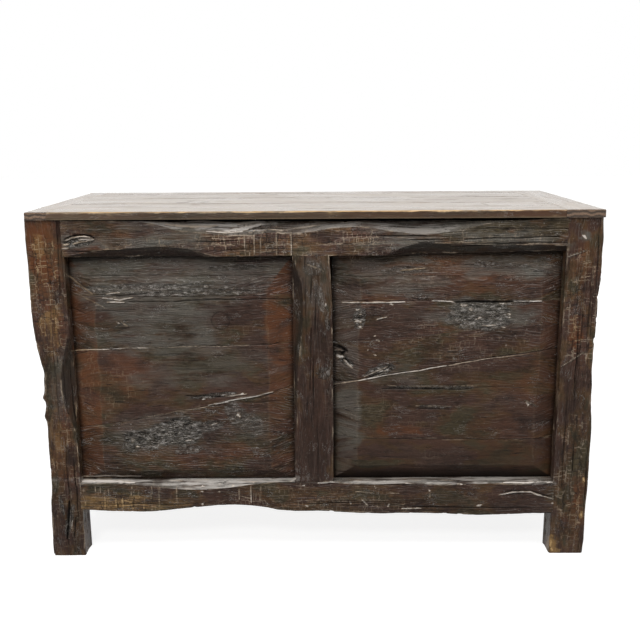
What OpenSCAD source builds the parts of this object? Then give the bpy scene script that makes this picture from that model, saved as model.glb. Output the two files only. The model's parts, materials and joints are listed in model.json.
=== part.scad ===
// A rustic framed sideboard: three drawers over a pair of doors on one long side, and on the other
// a plain back of two bevelled panels in a waney frame.
// The back faces -Y and the doors face +Y. Left and right are as seen from the back, so left is -X.

/* [Case] */
// Overall width, over the top boards
case_w = 1270; // [1200:10:1400]
// Overall depth, over the top boards
case_d = 560; // [540:10:640]
// Overall height
case_h = 825; // [790:5:880]

/* [Top] */
// Thickness of the top boards
top_t = 18; // [16:1:24]
// How far the top stands past the posts at the left and right
top_over_x = 3; // [1:1:10]
// How far the top stands past the posts at the back and front
top_over_y = 5; // [2:1:20]
// Width of the left end board
end_left_w = 46; // [42:1:90]
// Width of the right end board
end_right_w = 84; // [42:1:110]
// Width of the first long board, from the back edge on
plank_1_w = 196; // [170:1:210]
// Width of the second long board
plank_2_w = 158; // [140:1:170]
// Width of the third long board; the last one takes up the rest of the depth
plank_3_w = 148; // [130:1:160]
// Length of the tongues on the long boards
plank_tongue_l = 10; // [6:1:12]
// Thickness of the tongues on the long boards
plank_tongue_t = 6; // [4:1:8]
// Width of the two battens under the top
batten_w = 34; // [24:1:60]
// Depth of the two battens under the top
batten_h = 20; // [12:1:24]
// Distance of each batten from the middle
batten_x = 300; // [200:5:400]

/* [Posts] */
// Width of a post, along the case
post_w = 76; // [66:1:90]
// Depth of a post, from back to front
post_d = 56; // [54:1:70]
// Width of the tenon on a post's head
head_tenon_w = 20; // [14:1:22]
// Length of the tenon on a post's head, from back to front
head_tenon_d = 30; // [20:1:40]
// Height of the tenon on a post's head
head_tenon_h = 10; // [6:1:12]

/* [Back frame] */
// Height of the top rail of the back
back_rail_h = 84; // [70:1:100]
// Thickness of the back rails
back_rail_d = 46; // [42:1:50]
// Height of the back bottom rail
base_rail_h = 88; // [78:1:100]
// Clear height under the lowest point of the back bottom rail
foot_h = 100; // [80:5:130]
// Width of the upright between the two panels
muntin_w = 92; // [70:1:120]
// Thickness of that upright
muntin_d = 40; // [34:1:41]
// How far that upright stands from the middle, to the right
muntin_x = -5; // [-40:1:40]

/* [Panels] */
// How far the field of a panel lies behind the face of its frame
panel_recess = 8; // [4:1:10]
// Thickness of the back panels in the field
panel_t = 22; // [20:1:23]
// Thickness of the side panels and of the fixed front panels
thin_panel_t = 18; // [14:1:20]
// Thickness of a panel's tongue
tongue_t = 8; // [6:1:10]
// Length of a panel's tongue in its groove
tongue_l = 9; // [6:1:9]
// Depth of the grooves
groove_d = 10; // [10:1:12]
// Width of the bevel beside the left post
left_bevel_post = 52; // [30:1:70]
// Width of the left panel's bevel beside the middle upright
left_bevel_muntin = 58; // [30:1:70]
// Width of the left panel's bevel under the top rail
left_bevel_top = 66; // [40:1:80]
// Width of the left panel's bevel over the bottom rail
left_bevel_bottom = 26; // [20:1:60]
// Width of the bevel beside the right post
right_bevel_post = 46; // [30:1:70]
// Width of the right panel's bevel beside the middle upright
right_bevel_muntin = 56; // [30:1:70]
// Width of the right panel's bevel under the top rail
right_bevel_top = 60; // [40:1:80]
// Width of the right panel's bevel over the bottom rail
right_bevel_bottom = 32; // [20:1:60]
// Width of the bevels of the side panels
side_bevel = 40; // [24:1:60]
// Width of the bevels of the fixed front panels
fixed_bevel = 34; // [20:1:50]
// Width of the bevels of the door panels
door_bevel = 24; // [14:1:40]
// Gap between the boards of a panel
board_gap = 0.8; // [0.4:0.1:2]

/* [Side and front frame] */
// Height of the top rails of the sides
side_rail_h = 70; // [50:1:90]
// Thickness of the side rails
side_rail_t = 34; // [30:1:40]
// Thickness of the front rails, from the face inwards
front_rail_d = 44; // [38:1:50]
// Height of the front top rail
front_rail_h = 40; // [30:1:50]
// Height of the drawer openings
drawer_open_h = 112; // [90:1:120]
// Height of the rail between drawers and doors
drawer_rail_h = 40; // [36:1:50]
// Width of the uprights between the drawers
divider_w = 40; // [30:1:60]
// Width of the opening for the two doors
door_open_w = 600; // [500:10:640]
// Width of the uprights beside the doors
jamb_w = 42; // [34:1:60]

/* [Joinery] */
// Length of the tenons on the back and front rails
tenon_l = 30; // [20:1:32]
// Thickness of the tenons
tenon_t = 14; // [10:1:14]
// How far a tenon stays in from the edges of its rail
tenon_in = 12; // [8:1:16]
// Length of the tenons on the side rails
side_tenon_l = 22; // [14:1:24]
// Length of the stub tenons on dividers, jambs, battens and the upright of the back
stub_l = 9; // [6:1:10]
// Clearance all round a tenon or tongue
joint_gap = 0.2; // [0.1:0.05:0.4]
// Thickness of the floor boards
floor_t = 14; // [10:1:16]
// Length of the floor's edge in its groove
floor_edge_l = 8; // [5:1:8]
// How far the floor lies under the upper edges of the bottom rails
floor_drop = 12; // [11:1:30]

/* [Drawers] */
// Gap round a drawer front in its opening
drawer_gap = 2; // [1.5:0.5:3]
// How far drawer fronts and doors lie behind the face of the frame
front_set = 9; // [2:0.5:12]
// Thickness of a drawer front
drawer_front_t = 22; // [18:1:26]
// Thickness of the drawer sides and back
drawer_side_t = 12; // [9:1:14]
// Thickness of the drawer bottom
drawer_bottom_t = 7; // [5:1:9]
// Height of the drawer sides
drawer_side_h = 88; // [60:1:88]
// Length of a drawer behind its front
drawer_box_l = 420; // [300:5:425]
// Gap under the drawer sides, on the runners
runner_gap = 0.3; // [0.2:0.1:0.6]
// Height of the runners
runner_h = 26; // [20:1:34]
// Height of the guide strips on the runners
guide_h = 16; // [10:1:24]
// Thickness of the cross rail that carries the runners at the back
cross_rail_t = 22; // [18:1:30]

/* [Doors] */
// Thickness of a door
door_t = 26; // [24:1:30]
// Gap round a door in its opening
door_gap = 2; // [1.5:0.5:3]
// Width of a door's uprights
door_stile_w = 48; // [44:1:60]
// Height of a door's rails
door_rail_h = 52; // [40:1:70]
// Length of the tenons on a door's rails
door_tenon_l = 26; // [16:1:30]
// Thickness of a door's panel
door_panel_t = 12; // [10:1:14]
// Thickness of the tongue of a door's panel
door_tongue_t = 6; // [4:1:7]
// Radius of the wooden pivot pins
pivot_r = 6.5; // [5:0.5:8]
// Clearance round a pivot pin
pivot_gap = 0.4; // [0.3:0.1:0.6]
// Length of the upper pivot pin above the door
pivot_top_l = 14; // [10:1:18]
// Length of the lower pivot pin below the door
pivot_foot_l = 11; // [7:1:13]
// Side of the square strips that the doors close against
stop_side = 11; // [8:0.5:12]
// Gap between a closed door and its strips
stop_gap = 0.5; // [0.3:0.1:1]

/* [Ring pulls] */
// Radius of the round iron plate
plate_r = 21; // [14:1:22]
// Thickness of the plate
plate_t = 1.6; // [1:0.1:2.5]
// Radius of the ring to the middle of its wire
ring_r = 18; // [14:0.5:22]
// Radius of the ring's wire
ring_wire_r = 2.2; // [1.6:0.1:2.5]
// Radius of the eye to the middle of its wire
eye_r = 5; // [4.8:0.1:6]
// Radius of the eye's wire
eye_wire_r = 1.6; // [1.2:0.1:1.8]
// Length of the two bent ends of the split pin
clinch_l = 16; // [10:1:20]
// Height of the doors' pulls over their middle
pull_over_mid = 30; // [-60:5:120]
// Gap under the ring where it hangs in the eye, and under the foot of a door's pivot
hang_gap = 0.3; // [0.2:0.1:0.5]

/* [Hidden] */
$fn = 48;

// Faces and edges that the frame shares
side_x = case_w / 2 - top_over_x;
face_y = case_d / 2 - top_over_y;
inner_x = side_x - post_w;
inner_y = face_y - post_d;
frame_top = case_h - top_t;
base_top = foot_h + base_rail_h;
back_open_top = frame_top - back_rail_h;
side_open_top = frame_top - side_rail_h;
drawer_top = frame_top - front_rail_h;
drawer_floor = drawer_top - drawer_open_h;
door_top = drawer_floor - drawer_rail_h;
muntin_left = muntin_x - muntin_w / 2;
muntin_right = muntin_x + muntin_w / 2;

// How far a tenon or pin reaches back into its own timber, so that the two are one piece
root = 1;
// Tenons of the back and front rails lie this far behind the face of the frame
tenon_in_face = 13;
// Tenons of the side rails lie this far in from the outer side
side_tenon_in = 7;
// A tongue is a little shorter than its groove, so that the wood can move
groove_reach = groove_d;
plank_groove_d = plank_tongue_l + 1;

// How many straight pieces each span of a smoothed edge has
span_steps = 5;
// How far the cutting strips of a natural edge reach across and stand off the wood
wane_reach = 140;
wane_out = 4;
none = -2;

// Natural edges, each as [share of the timber's length, size in millimetres].
// Height that the wane takes off the back face along the top arris of the top rail
top_rail_wane = [[0, none], [0.13, none], [0.2, 6], [0.27, 22], [0.33, 29], [0.4, 27],
    [0.46, 24], [0.52, 20], [0.57, 14], [0.63, 15], [0.7, 26], [0.76, 29], [0.83, 14], [0.88, 2],
    [0.92, none], [1, none]];
// The same along the bottom arris of the top rail
top_rail_hollow = [[0, 3], [0.05, 13], [0.14, 21], [0.2, 24], [0.25, 19], [0.29, 6], [0.32, none],
    [0.62, none], [0.65, 6], [0.69, 22], [0.72, 25], [0.8, 22], [0.9, 18], [1, 14]];
// Along the top arris of the bottom rail
base_rail_wane = [[0, none], [0.03, 1], [0.1, 5], [0.17, 10], [0.23, 15], [0.28, 17], [0.33, 13],
    [0.39, 5], [0.44, 1], [0.5, none], [1, none]];
// How far the lower edge of the bottom rail rises over its lowest point
base_rail_edge = [[0, 17], [0.06, 13], [0.14, 12], [0.19, 16], [0.24, 21], [0.39, 21], [0.45, 12],
    [0.5, 11], [0.59, 5], [0.72, 4], [0.8, 2], [0.86, 0], [0.95, 2], [1, 3]];
// How far the lower edge of the top rail rises towards its right end
top_rail_edge = [[0, 0], [0.54, 0], [0.6, 0], [0.8, 4], [1, 8]];
// How far the outer side of each back post falls in, from the foot up
left_post_edge = [[0, 3], [0.06, 4], [0.18, 9], [0.3, 13], [0.42, 13], [0.46, 15], [0.53, 17],
    [0.6, 13], [0.67, 6], [0.74, 1], [0.85, 0], [1, 0]];
right_post_edge = [[0, 1], [0.1, 0], [0.35, 0], [0.42, 2], [0.5, 7], [0.6, 9], [0.68, 8], [0.8, 4],
    [0.9, 1], [1, 1]];
// Width that the wane takes off the face of the left post beside the panel, from the foot up
left_post_wane = [[0, none], [0.36, none], [0.41, 8], [0.46, 20], [0.52, 28], [0.57, 24], [0.63, 12],
    [0.69, none], [1, none]];
// Width that the wane takes off the face of the muntin, from its foot up
muntin_wane = [[0, none], [0.1, 1], [0.25, 6], [0.4, 10], [0.55, 13], [0.68, 20], [0.78, 23],
    [0.88, 20], [0.96, 9], [1, 4]];
// Slope of each wane, as degrees between its cut and the face of the timber
top_rail_tilt = 48;
panel_side_tilt = 34;
base_rail_tilt = 45;

// Joints between the boards of each panel, as shares of the opening's height at its left and right
left_joints = [[0.243, 0.435], [0.598, 0.621], [0.832, 0.834]];
right_joints = [[0.202, 0.187], [0.443, 0.591], [0.806, 0.802]];
side_joints = [[0.36, 0.31], [0.66, 0.69]];
fixed_joints = [[0.48, 0.52]];

back_wood = [0.24, 0.18, 0.14];
panel_wood = [0.28, 0.21, 0.16];
top_wood = [0.5, 0.44, 0.36];
inner_wood = [0.45, 0.34, 0.23];
iron = [0.12, 0.11, 0.11];

function mix(a, b, t) = a + (b - a) * t;
function last_size(p) = p[len(p) - 1][1];
function slope(p, i) =
    let (j = max(i - 1, 0), k = min(i + 1, len(p) - 1)) (p[k][1] - p[j][1]) / (p[k][0] - p[j][0]);
function hermite(p, i, t) =
    let (h = p[i + 1][0] - p[i][0])
    p[i][1] * (2 * t ^ 3 - 3 * t ^ 2 + 1) + slope(p, i) * h * (t ^ 3 - 2 * t ^ 2 + t)
    + p[i + 1][1] * (3 * t ^ 2 - 2 * t ^ 3) + slope(p, i + 1) * h * (t ^ 3 - t ^ 2);
// The smooth curve through the points p
function smooth(p) = [
    for (i = [0:len(p) - 2]) for (k = [0:span_steps - 1])
        [mix(p[i][0], p[i + 1][0], k / span_steps), hermite(p, i, k / span_steps)],
    p[len(p) - 1]
];
// The smooth curve, with shares turned into places from a to b and sizes added to base
function edge_line(p, a, b, base, sign) = [for (q = smooth(p)) [mix(a, b, q[0]), base + sign * q[1]]];

// A block between two opposite corners
module block(lo, hi) {
    translate(lo) cube(hi - lo);
}

// A plate with an outline in X and Z, from y0 to y1
module plate_xz(outline, y0, y1) {
    translate([0, y1, 0]) rotate([90, 0, 0]) linear_extrude(y1 - y0) polygon(outline);
}

// The strip that a natural edge takes off a timber that runs along +X. The arris is the X axis,
// the wood is at +Y and -Z, and legs are heights on the -Y face.
module wane_strip(length, legs, tilt) {
    rotate([-tilt, 0, 0])
        linear_extrude(wane_reach, center = true)
            polygon(concat([for (p = smooth(legs)) [p[0] * length, p[1] * sin(tilt)]],
                [[length, -wane_out], [0, -wane_out]]));
}

// The same for an upright timber, with its wood at +X and +Y of the arris
module upright_wane_strip(length, legs, tilt) {
    rotate([0, -90, 0]) wane_strip(length, legs, tilt);
}

// A block grown by the joint clearance
module mortise(lo, hi) {
    block(lo - [joint_gap, joint_gap, joint_gap], hi + [joint_gap, joint_gap, joint_gap]);
}

// Boards that fill an opening from x0 to x1 and z0 to z1 in a frame whose face is at y = -face.
// widths are those of the bevels at the left, right, bottom and top.
module raised_panel(x0, x1, z0, z1, face, thickness, tongue, recess, widths) {
    field = -face + recess;
    back = field + thickness;
    shelf = back - tongue;
    lo = [x0 - tongue_l, field, z0 - tongue_l];
    hi = [x1 + tongue_l, back, z1 + tongue_l];
    out = 1;
    difference() {
        block(lo, hi);
        translate([0, 0, lo[2] - out]) linear_extrude(hi[2] - lo[2] + 2 * out) {
            polygon([[lo[0] - out, field - out], [lo[0] - out, shelf], [x0, shelf],
                [x0 + widths[0], field], [x0 + widths[0], field - out]]);
            polygon([[hi[0] + out, field - out], [hi[0] + out, shelf], [x1, shelf],
                [x1 - widths[1], field], [x1 - widths[1], field - out]]);
        }
        translate([lo[0] - out, 0, 0]) rotate([90, 0, 90]) linear_extrude(hi[0] - lo[0] + 2 * out) {
            polygon([[field - out, lo[2] - out], [shelf, lo[2] - out], [shelf, z0],
                [field, z0 + widths[2]], [field - out, z0 + widths[2]]]);
            polygon([[field - out, hi[2] + out], [shelf, hi[2] + out], [shelf, z1],
                [field, z1 - widths[3]], [field - out, z1 - widths[3]]]);
        }
    }
}

// The part of a panel that is board k, counted from the bottom
module board_slice(x0, x1, z0, z1, face, joints, k) {
    far = 3 * groove_d;
    low = k == 0 ? [z0 - far, z0 - far]
        : [mix(z0, z1, joints[k - 1][0]), mix(z0, z1, joints[k - 1][1])] + [1, 1] * board_gap / 2;
    high = k == len(joints) ? [z1 + far, z1 + far]
        : [mix(z0, z1, joints[k][0]), mix(z0, z1, joints[k][1])] - [1, 1] * board_gap / 2;
    grow_low = (low[1] - low[0]) / (x1 - x0) * far;
    grow_high = (high[1] - high[0]) / (x1 - x0) * far;
    plate_xz([[x0 - far, low[0] - grow_low], [x1 + far, low[1] + grow_low],
        [x1 + far, high[1] + grow_high], [x0 - far, high[0] - grow_high]], -face - far, -face + 2 * far);
}

// The groove round an opening for a raised panel, cut into the frame about it
module panel_groove(x0, x1, z0, z1, face, thickness, tongue, recess) {
    back = -face + recess + thickness;
    block([x0 - groove_reach, back - tongue - joint_gap, z0 - groove_reach],
        [x1 + groove_reach, back + joint_gap, z1 + groove_reach]);
}

module back_groove_left() {
    panel_groove(-inner_x, muntin_left, base_top, back_open_top, face_y, panel_t, tongue_t, panel_recess);
}

module back_groove_right() {
    panel_groove(muntin_right, inner_x, base_top, back_open_top, face_y, panel_t, tongue_t, panel_recess);
}

// The side frames are drawn in a turned frame, in which the left side of the case faces -Y
module to_left_side() {
    rotate([0, 0, -90]) children();
}

module side_groove() {
    to_left_side()
        panel_groove(-inner_y, inner_y, base_top, side_open_top, side_x, thin_panel_t, tongue_t,
            panel_recess);
}

// The front frame is drawn in a frame turned by half a turn
module to_front() {
    rotate([0, 0, 180]) children();
}

module fixed_groove() {
    to_front()
        panel_groove(-inner_x, -door_open_w / 2 - jamb_w, base_top, door_top, face_y, thin_panel_t,
            tongue_t, panel_recess);
}

// Tenons on both ends of a rail along X at the back; the mortises are the same blocks, grown
module back_rail_tenons(z0, z1, grown = false) {
    for (side = [-1, 1]) {
        a = side * (inner_x - root);
        b = side * (inner_x + tenon_l);
        lo = [min(a, b), -face_y + tenon_in_face, z0 + tenon_in];
        hi = [max(a, b), -face_y + tenon_in_face + tenon_t, z1 - tenon_in];
        if (grown) mortise(lo, hi); else block(lo, hi);
    }
}

module back_rails_tenons(grown) {
    back_rail_tenons(back_open_top + last_size(top_rail_edge), frame_top, grown);
    back_rail_tenons(foot_h + base_rail_edge[0][1], base_top, grown);
}

module front_rails_tenons(grown) {
    to_front() {
        back_rail_tenons(drawer_top, frame_top, grown);
        back_rail_tenons(door_top, drawer_floor, grown);
        back_rail_tenons(foot_h, base_top, grown);
    }
}

// Tenons on both ends of the left side rails
module side_rail_tenons(z0, z1, grown = false) {
    for (end = [-1, 1]) {
        a = end * (inner_y - root);
        b = end * (inner_y + side_tenon_l);
        lo = [-side_x + side_tenon_in, min(a, b), z0 + tenon_in];
        hi = [-side_x + side_tenon_in + tenon_t, max(a, b), z1 - tenon_in];
        if (grown) mortise(lo, hi); else block(lo, hi);
    }
}

module side_rails_tenons(grown) {
    side_rail_tenons(side_open_top, frame_top, grown);
    side_rail_tenons(foot_h, base_top, grown);
}

// The cross rail behind the upright of the back, and the tenons that hold it in the back posts
cross_gap = 1;
cross_y0 = -face_y + muntin_d + cross_gap;
cross_y1 = cross_y0 + cross_rail_t;
cross_tenon_l = 20;
cross_tenon_t = 9;
cross_tenon_in = 8;

module cross_rail_tenons(grown = false) {
    y0 = cross_y0 + cross_gap;
    for (side = [-1, 1]) {
        a = side * (inner_x - root);
        b = side * (inner_x + cross_tenon_l);
        lo = [min(a, b), y0, door_top + cross_tenon_in];
        hi = [max(a, b), y0 + cross_tenon_t, drawer_floor - cross_tenon_in];
        if (grown) mortise(lo, hi); else block(lo, hi);
    }
}

// The tenon on a post's head stands this far in from the post's outer side
head_tenon_in = 7;

module head_tenon(side, end, grown = false) {
    x0 = side_x - head_tenon_in - head_tenon_w;
    x1 = side_x - head_tenon_in;
    mid_y = end * (face_y - post_d / 2);
    lo = [min(side * x0, side * x1), mid_y - head_tenon_d / 2, frame_top - root];
    hi = [max(side * x0, side * x1), mid_y + head_tenon_d / 2, frame_top + head_tenon_h];
    if (grown) mortise(lo, hi); else block(lo, hi);
}

// One post at the left (side -1) or right, and at the back (end -1) or front, with no joints cut.
// edge is the natural outer side, or empty for a straight one.
module post_blank(side, end, edge) {
    y0 = min(end * inner_y, end * face_y);
    y1 = max(end * inner_y, end * face_y);
    outer = len(edge) == 0 ? [[side * side_x, 0], [side * side_x, frame_top]]
        : [for (p = smooth(edge)) [side * (side_x - p[1]), p[0] * frame_top]];
    plate_xz(concat([[side * inner_x, frame_top], [side * inner_x, 0]], outer), y0, y1);
    head_tenon(side, end);
}

module post_joints() {
    back_rails_tenons(true);
    front_rails_tenons(true);
    side_rails_tenons(true);
    mirror([1, 0, 0]) side_rails_tenons(true);
    cross_rail_tenons(true);
    side_groove();
    mirror([1, 0, 0]) side_groove();
    back_groove_left();
    back_groove_right();
    fixed_groove();
    mirror([1, 0, 0]) fixed_groove();
}

module post_back_left() {
    color(back_wood) difference() {
        post_blank(-1, -1, left_post_edge);
        post_joints();
        translate([-inner_x, -face_y, 0]) mirror([1, 0, 0])
            upright_wane_strip(frame_top, left_post_wane, panel_side_tilt);
    }
}

module post_back_right() {
    color(back_wood) difference() {
        post_blank(1, -1, right_post_edge);
        post_joints();
    }
}

module post_front(side) {
    color(back_wood) difference() {
        post_blank(side, 1, []);
        post_joints();
    }
}

// Stub tenons of the upright between the back panels
module muntin_stubs(grown = false) {
    y0 = -face_y + panel_recess + panel_t - tongue_t;
    for (z = [base_top - stub_l, back_open_top - root]) {
        lo = [muntin_left + tenon_in, y0, z];
        hi = [muntin_right - tenon_in, y0 + tongue_t, z + stub_l + root];
        if (grown) mortise(lo, hi); else block(lo, hi);
    }
}

module back_top_rail() {
    span = 2 * inner_x;
    color(back_wood) {
        difference() {
            plate_xz(concat(edge_line(top_rail_edge, -inner_x, inner_x, back_open_top, 1),
                [[inner_x, frame_top], [-inner_x, frame_top]]), -face_y, -face_y + back_rail_d);
            back_groove_left();
            back_groove_right();
            muntin_stubs(true);
            batten_stubs(true);
            translate([-inner_x, -face_y, frame_top]) wane_strip(span, top_rail_wane, top_rail_tilt);
            translate([-inner_x, -face_y, back_open_top]) mirror([0, 0, 1])
                wane_strip(span, top_rail_hollow, panel_side_tilt);
        }
        back_rail_tenons(back_open_top + last_size(top_rail_edge), frame_top);
    }
}

module back_bottom_rail() {
    span = 2 * inner_x;
    color(back_wood) {
        difference() {
            plate_xz(concat(edge_line(base_rail_edge, -inner_x, inner_x, foot_h, 1),
                [[inner_x, base_top], [-inner_x, base_top]]), -face_y, -face_y + back_rail_d);
            back_groove_left();
            back_groove_right();
            muntin_stubs(true);
            floor_blank(joint_gap);
            translate([-inner_x, -face_y, base_top]) wane_strip(span, base_rail_wane, base_rail_tilt);
        }
        back_rail_tenons(foot_h + base_rail_edge[0][1], base_top);
    }
}

module back_muntin() {
    height = back_open_top - base_top;
    color(back_wood) {
        difference() {
            block([muntin_left, -face_y, base_top], [muntin_right, -face_y + muntin_d, back_open_top]);
            back_groove_left();
            back_groove_right();
            translate([muntin_left, -face_y, base_top])
                upright_wane_strip(height, muntin_wane, panel_side_tilt);
        }
        muntin_stubs();
    }
}

module back_board(x0, x1, joints, k, widths) {
    color(panel_wood) intersection() {
        raised_panel(x0, x1, base_top, back_open_top, face_y, panel_t, tongue_t, panel_recess, widths);
        board_slice(x0, x1, base_top, back_open_top, face_y, joints, k);
    }
}

left_bevels = [left_bevel_post, left_bevel_muntin, left_bevel_bottom, left_bevel_top];
right_bevels = [right_bevel_muntin, right_bevel_post, right_bevel_bottom, right_bevel_top];

module back_left_board(k) {
    back_board(-inner_x, muntin_left, left_joints, k, left_bevels);
}

module back_right_board(k) {
    back_board(muntin_right, inner_x, right_joints, k, right_bevels);
}

module left_rail(z0, z1) {
    color(back_wood) {
        difference() {
            block([-side_x, -inner_y, z0], [-side_x + side_rail_t, inner_y, z1]);
            side_groove();
            floor_blank(joint_gap);
        }
        side_rail_tenons(z0, z1);
    }
}

module left_panel() {
    widths = [side_bevel, side_bevel, side_bevel, side_bevel];
    color(panel_wood) for (k = [0:len(side_joints)]) to_left_side() intersection() {
        raised_panel(-inner_y, inner_y, base_top, side_open_top, side_x, thin_panel_t, tongue_t,
            panel_recess, widths);
        board_slice(-inner_y, inner_y, base_top, side_open_top, side_x, side_joints, k);
    }
}

// Top boards
top_left = -case_w / 2 + end_left_w;
top_right = case_w / 2 - end_right_w;
plank_tongue_z = frame_top + (top_t - plank_tongue_t) / 2;

// Where the long boards start, and where the last one ends
plank_edges = [-case_d / 2, -case_d / 2 + plank_1_w, -case_d / 2 + plank_1_w + plank_2_w,
    -case_d / 2 + plank_1_w + plank_2_w + plank_3_w, case_d / 2 + board_gap];

module plank(k) {
    y0 = plank_edges[k];
    y1 = plank_edges[k + 1] - board_gap;
    color(top_wood) {
        block([top_left, y0, frame_top], [top_right, y1, case_h]);
        block([top_left - plank_tongue_l, y0, plank_tongue_z],
            [top_right + plank_tongue_l, y1, plank_tongue_z + plank_tongue_t]);
    }
}

module top_end(x0, x1, inner, side) {
    color(top_wood) difference() {
        block([x0, -case_d / 2, frame_top], [x1, case_d / 2, case_h]);
        block([min(inner, inner + side * plank_groove_d), -case_d, plank_tongue_z - joint_gap],
            [max(inner, inner + side * plank_groove_d), case_d,
                plank_tongue_z + plank_tongue_t + joint_gap]);
        for (end = [-1, 1]) head_tenon(side, end, true);
    }
}

// Stub tenons of the battens in the back and front top rails
module batten_stubs(grown = false) {
    mid = frame_top - batten_h / 2;
    for (x = [-batten_x, batten_x], end = [-1, 1]) {
        wall = end < 0 ? -face_y + back_rail_d : face_y - front_rail_d;
        lo = [x - batten_w / 4, min(wall - end * root, wall + end * stub_l), mid - batten_h / 4];
        hi = [x + batten_w / 4, max(wall - end * root, wall + end * stub_l), mid + batten_h / 4];
        if (grown) mortise(lo, hi); else block(lo, hi);
    }
}

module top_battens() {
    color(inner_wood) {
        for (x = [-batten_x, batten_x])
            block([x - batten_w / 2, -face_y + back_rail_d, frame_top - batten_h],
                [x + batten_w / 2, face_y - front_rail_d, frame_top]);
        batten_stubs();
    }
}

// Front frame
drawer_w = (2 * inner_x - 2 * divider_w) / 3;
divider_step = drawer_w + divider_w;
divider_places = [-divider_step / 2, divider_step / 2];
jamb_mid = door_open_w / 2 + jamb_w / 2;

// Stub tenons of a front upright about x, on the ends of the span z0 to z1
module upright_stubs(x, width, z0, z1, grown = false) {
    y0 = face_y - front_rail_d / 2 - tongue_t / 2;
    for (z = [z0 - stub_l, z1 - root]) {
        lo = [x - width / 2 + tenon_in, y0, z];
        hi = [x + width / 2 - tenon_in, y0 + tongue_t, z + stub_l + root];
        if (grown) mortise(lo, hi); else block(lo, hi);
    }
}

module front_uprights_stubs(grown = false) {
    for (x = divider_places) upright_stubs(x, divider_w, drawer_floor, drawer_top, grown);
    for (side = [-1, 1]) upright_stubs(side * jamb_mid, jamb_w, base_top, door_top, grown);
}

// Pivot axis of the doors
pivot_x = door_open_w / 2 - door_gap - door_t / 2;
door_y0 = face_y - front_set - door_t;
door_y1 = door_y0 + door_t;
door_z0 = base_top + door_gap;
door_z1 = door_top - door_gap;
pivot_y = door_y0 + door_t / 2;

// The upper sockets are so much deeper that a door can be lifted out of the lower ones
module pivot_sockets() {
    low = door_z0 - pivot_foot_l - hang_gap;
    for (side = [-1, 1]) {
        translate([side * pivot_x, pivot_y, low])
            cylinder(h = base_top - low + 1, r = pivot_r + pivot_gap);
        translate([side * pivot_x, pivot_y, door_top - 1])
            cylinder(h = door_z1 - door_top + pivot_top_l + pivot_foot_l + 1, r = pivot_r + pivot_gap);
    }
}

module front_rail(z0, z1) {
    block([-inner_x, face_y - front_rail_d, z0], [inner_x, face_y, z1]);
    to_front() back_rail_tenons(z0, z1);
}

module front_top_rail() {
    color(back_wood) difference() {
        front_rail(drawer_top, frame_top);
        front_uprights_stubs(true);
        batten_stubs(true);
    }
}

module front_drawer_rail() {
    color(back_wood) difference() {
        front_rail(door_top, drawer_floor);
        front_uprights_stubs(true);
        fixed_groove();
        mirror([1, 0, 0]) fixed_groove();
        pivot_sockets();
    }
}

module front_bottom_rail() {
    color(back_wood) difference() {
        front_rail(foot_h, base_top);
        front_uprights_stubs(true);
        fixed_groove();
        mirror([1, 0, 0]) fixed_groove();
        pivot_sockets();
        floor_blank(joint_gap);
    }
}

module drawer_dividers() {
    color(back_wood) for (x = divider_places) {
        block([x - divider_w / 2, face_y - front_rail_d, drawer_floor],
            [x + divider_w / 2, face_y, drawer_top]);
        upright_stubs(x, divider_w, drawer_floor, drawer_top);
    }
}

module door_jambs() {
    color(back_wood) for (side = [-1, 1]) {
        difference() {
            block([side * jamb_mid - jamb_w / 2, face_y - front_rail_d, base_top],
                [side * jamb_mid + jamb_w / 2, face_y, door_top]);
            fixed_groove();
            mirror([1, 0, 0]) fixed_groove();
        }
        upright_stubs(side * jamb_mid, jamb_w, base_top, door_top);
    }
}

module front_fixed_panels() {
    widths = [fixed_bevel, fixed_bevel, fixed_bevel, fixed_bevel];
    x0 = -inner_x;
    x1 = -door_open_w / 2 - jamb_w;
    color(panel_wood) for (side = [0, 1], k = [0:len(fixed_joints)])
        mirror([side, 0, 0]) to_front() intersection() {
            raised_panel(x0, x1, base_top, door_top, face_y, thin_panel_t, tongue_t, panel_recess, widths);
            board_slice(x0, x1, base_top, door_top, face_y, fixed_joints, k);
        }
}

// The floor, with its corners cut back round the posts
floor_z1 = base_top - floor_drop;
floor_z0 = floor_z1 - floor_t;
post_clear = 1;
floor_joint_ys = [-76, 84];

module floor_blank(grow) {
    x = side_x - side_rail_t + floor_edge_l;
    y0 = -face_y + back_rail_d - floor_edge_l;
    y1 = face_y - front_rail_d + floor_edge_l;
    cut = inner_x - post_clear;
    difference() {
        block([-x - grow, y0 - grow, floor_z0 - grow], [x + grow, y1 + grow, floor_z1 + grow]);
        for (side = [-1, 1], end = [-1, 1])
            block([min(side * cut, side * case_w), min(end * (inner_y - post_clear), end * case_d), 0],
                [max(side * cut, side * case_w), max(end * (inner_y - post_clear), end * case_d), case_h]);
    }
}

module floor_boards() {
    color(inner_wood) difference() {
        floor_blank(0);
        for (y = floor_joint_ys)
            block([-case_w, y - board_gap / 2, 0], [case_w, y + board_gap / 2, case_h]);
    }
}

// Strips on the bottom rail and under the drawer rail that the doors close against
module door_stops() {
    y1 = door_y0 - stop_gap;
    x = door_open_w / 2;
    color(inner_wood) {
        block([-x, y1 - stop_side, base_top], [x, y1, base_top + stop_side]);
        block([-x, y1 - stop_side, door_top - stop_side], [x, y1, door_top]);
    }
}

module runner_cross_rail() {
    color(inner_wood) {
        block([-inner_x, cross_y0, door_top], [inner_x, cross_y1, drawer_floor]);
        cross_rail_tenons();
    }
}

// Runners under the drawer sides, each with a guide strip beside the drawers
runner_lap = 16;

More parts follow.
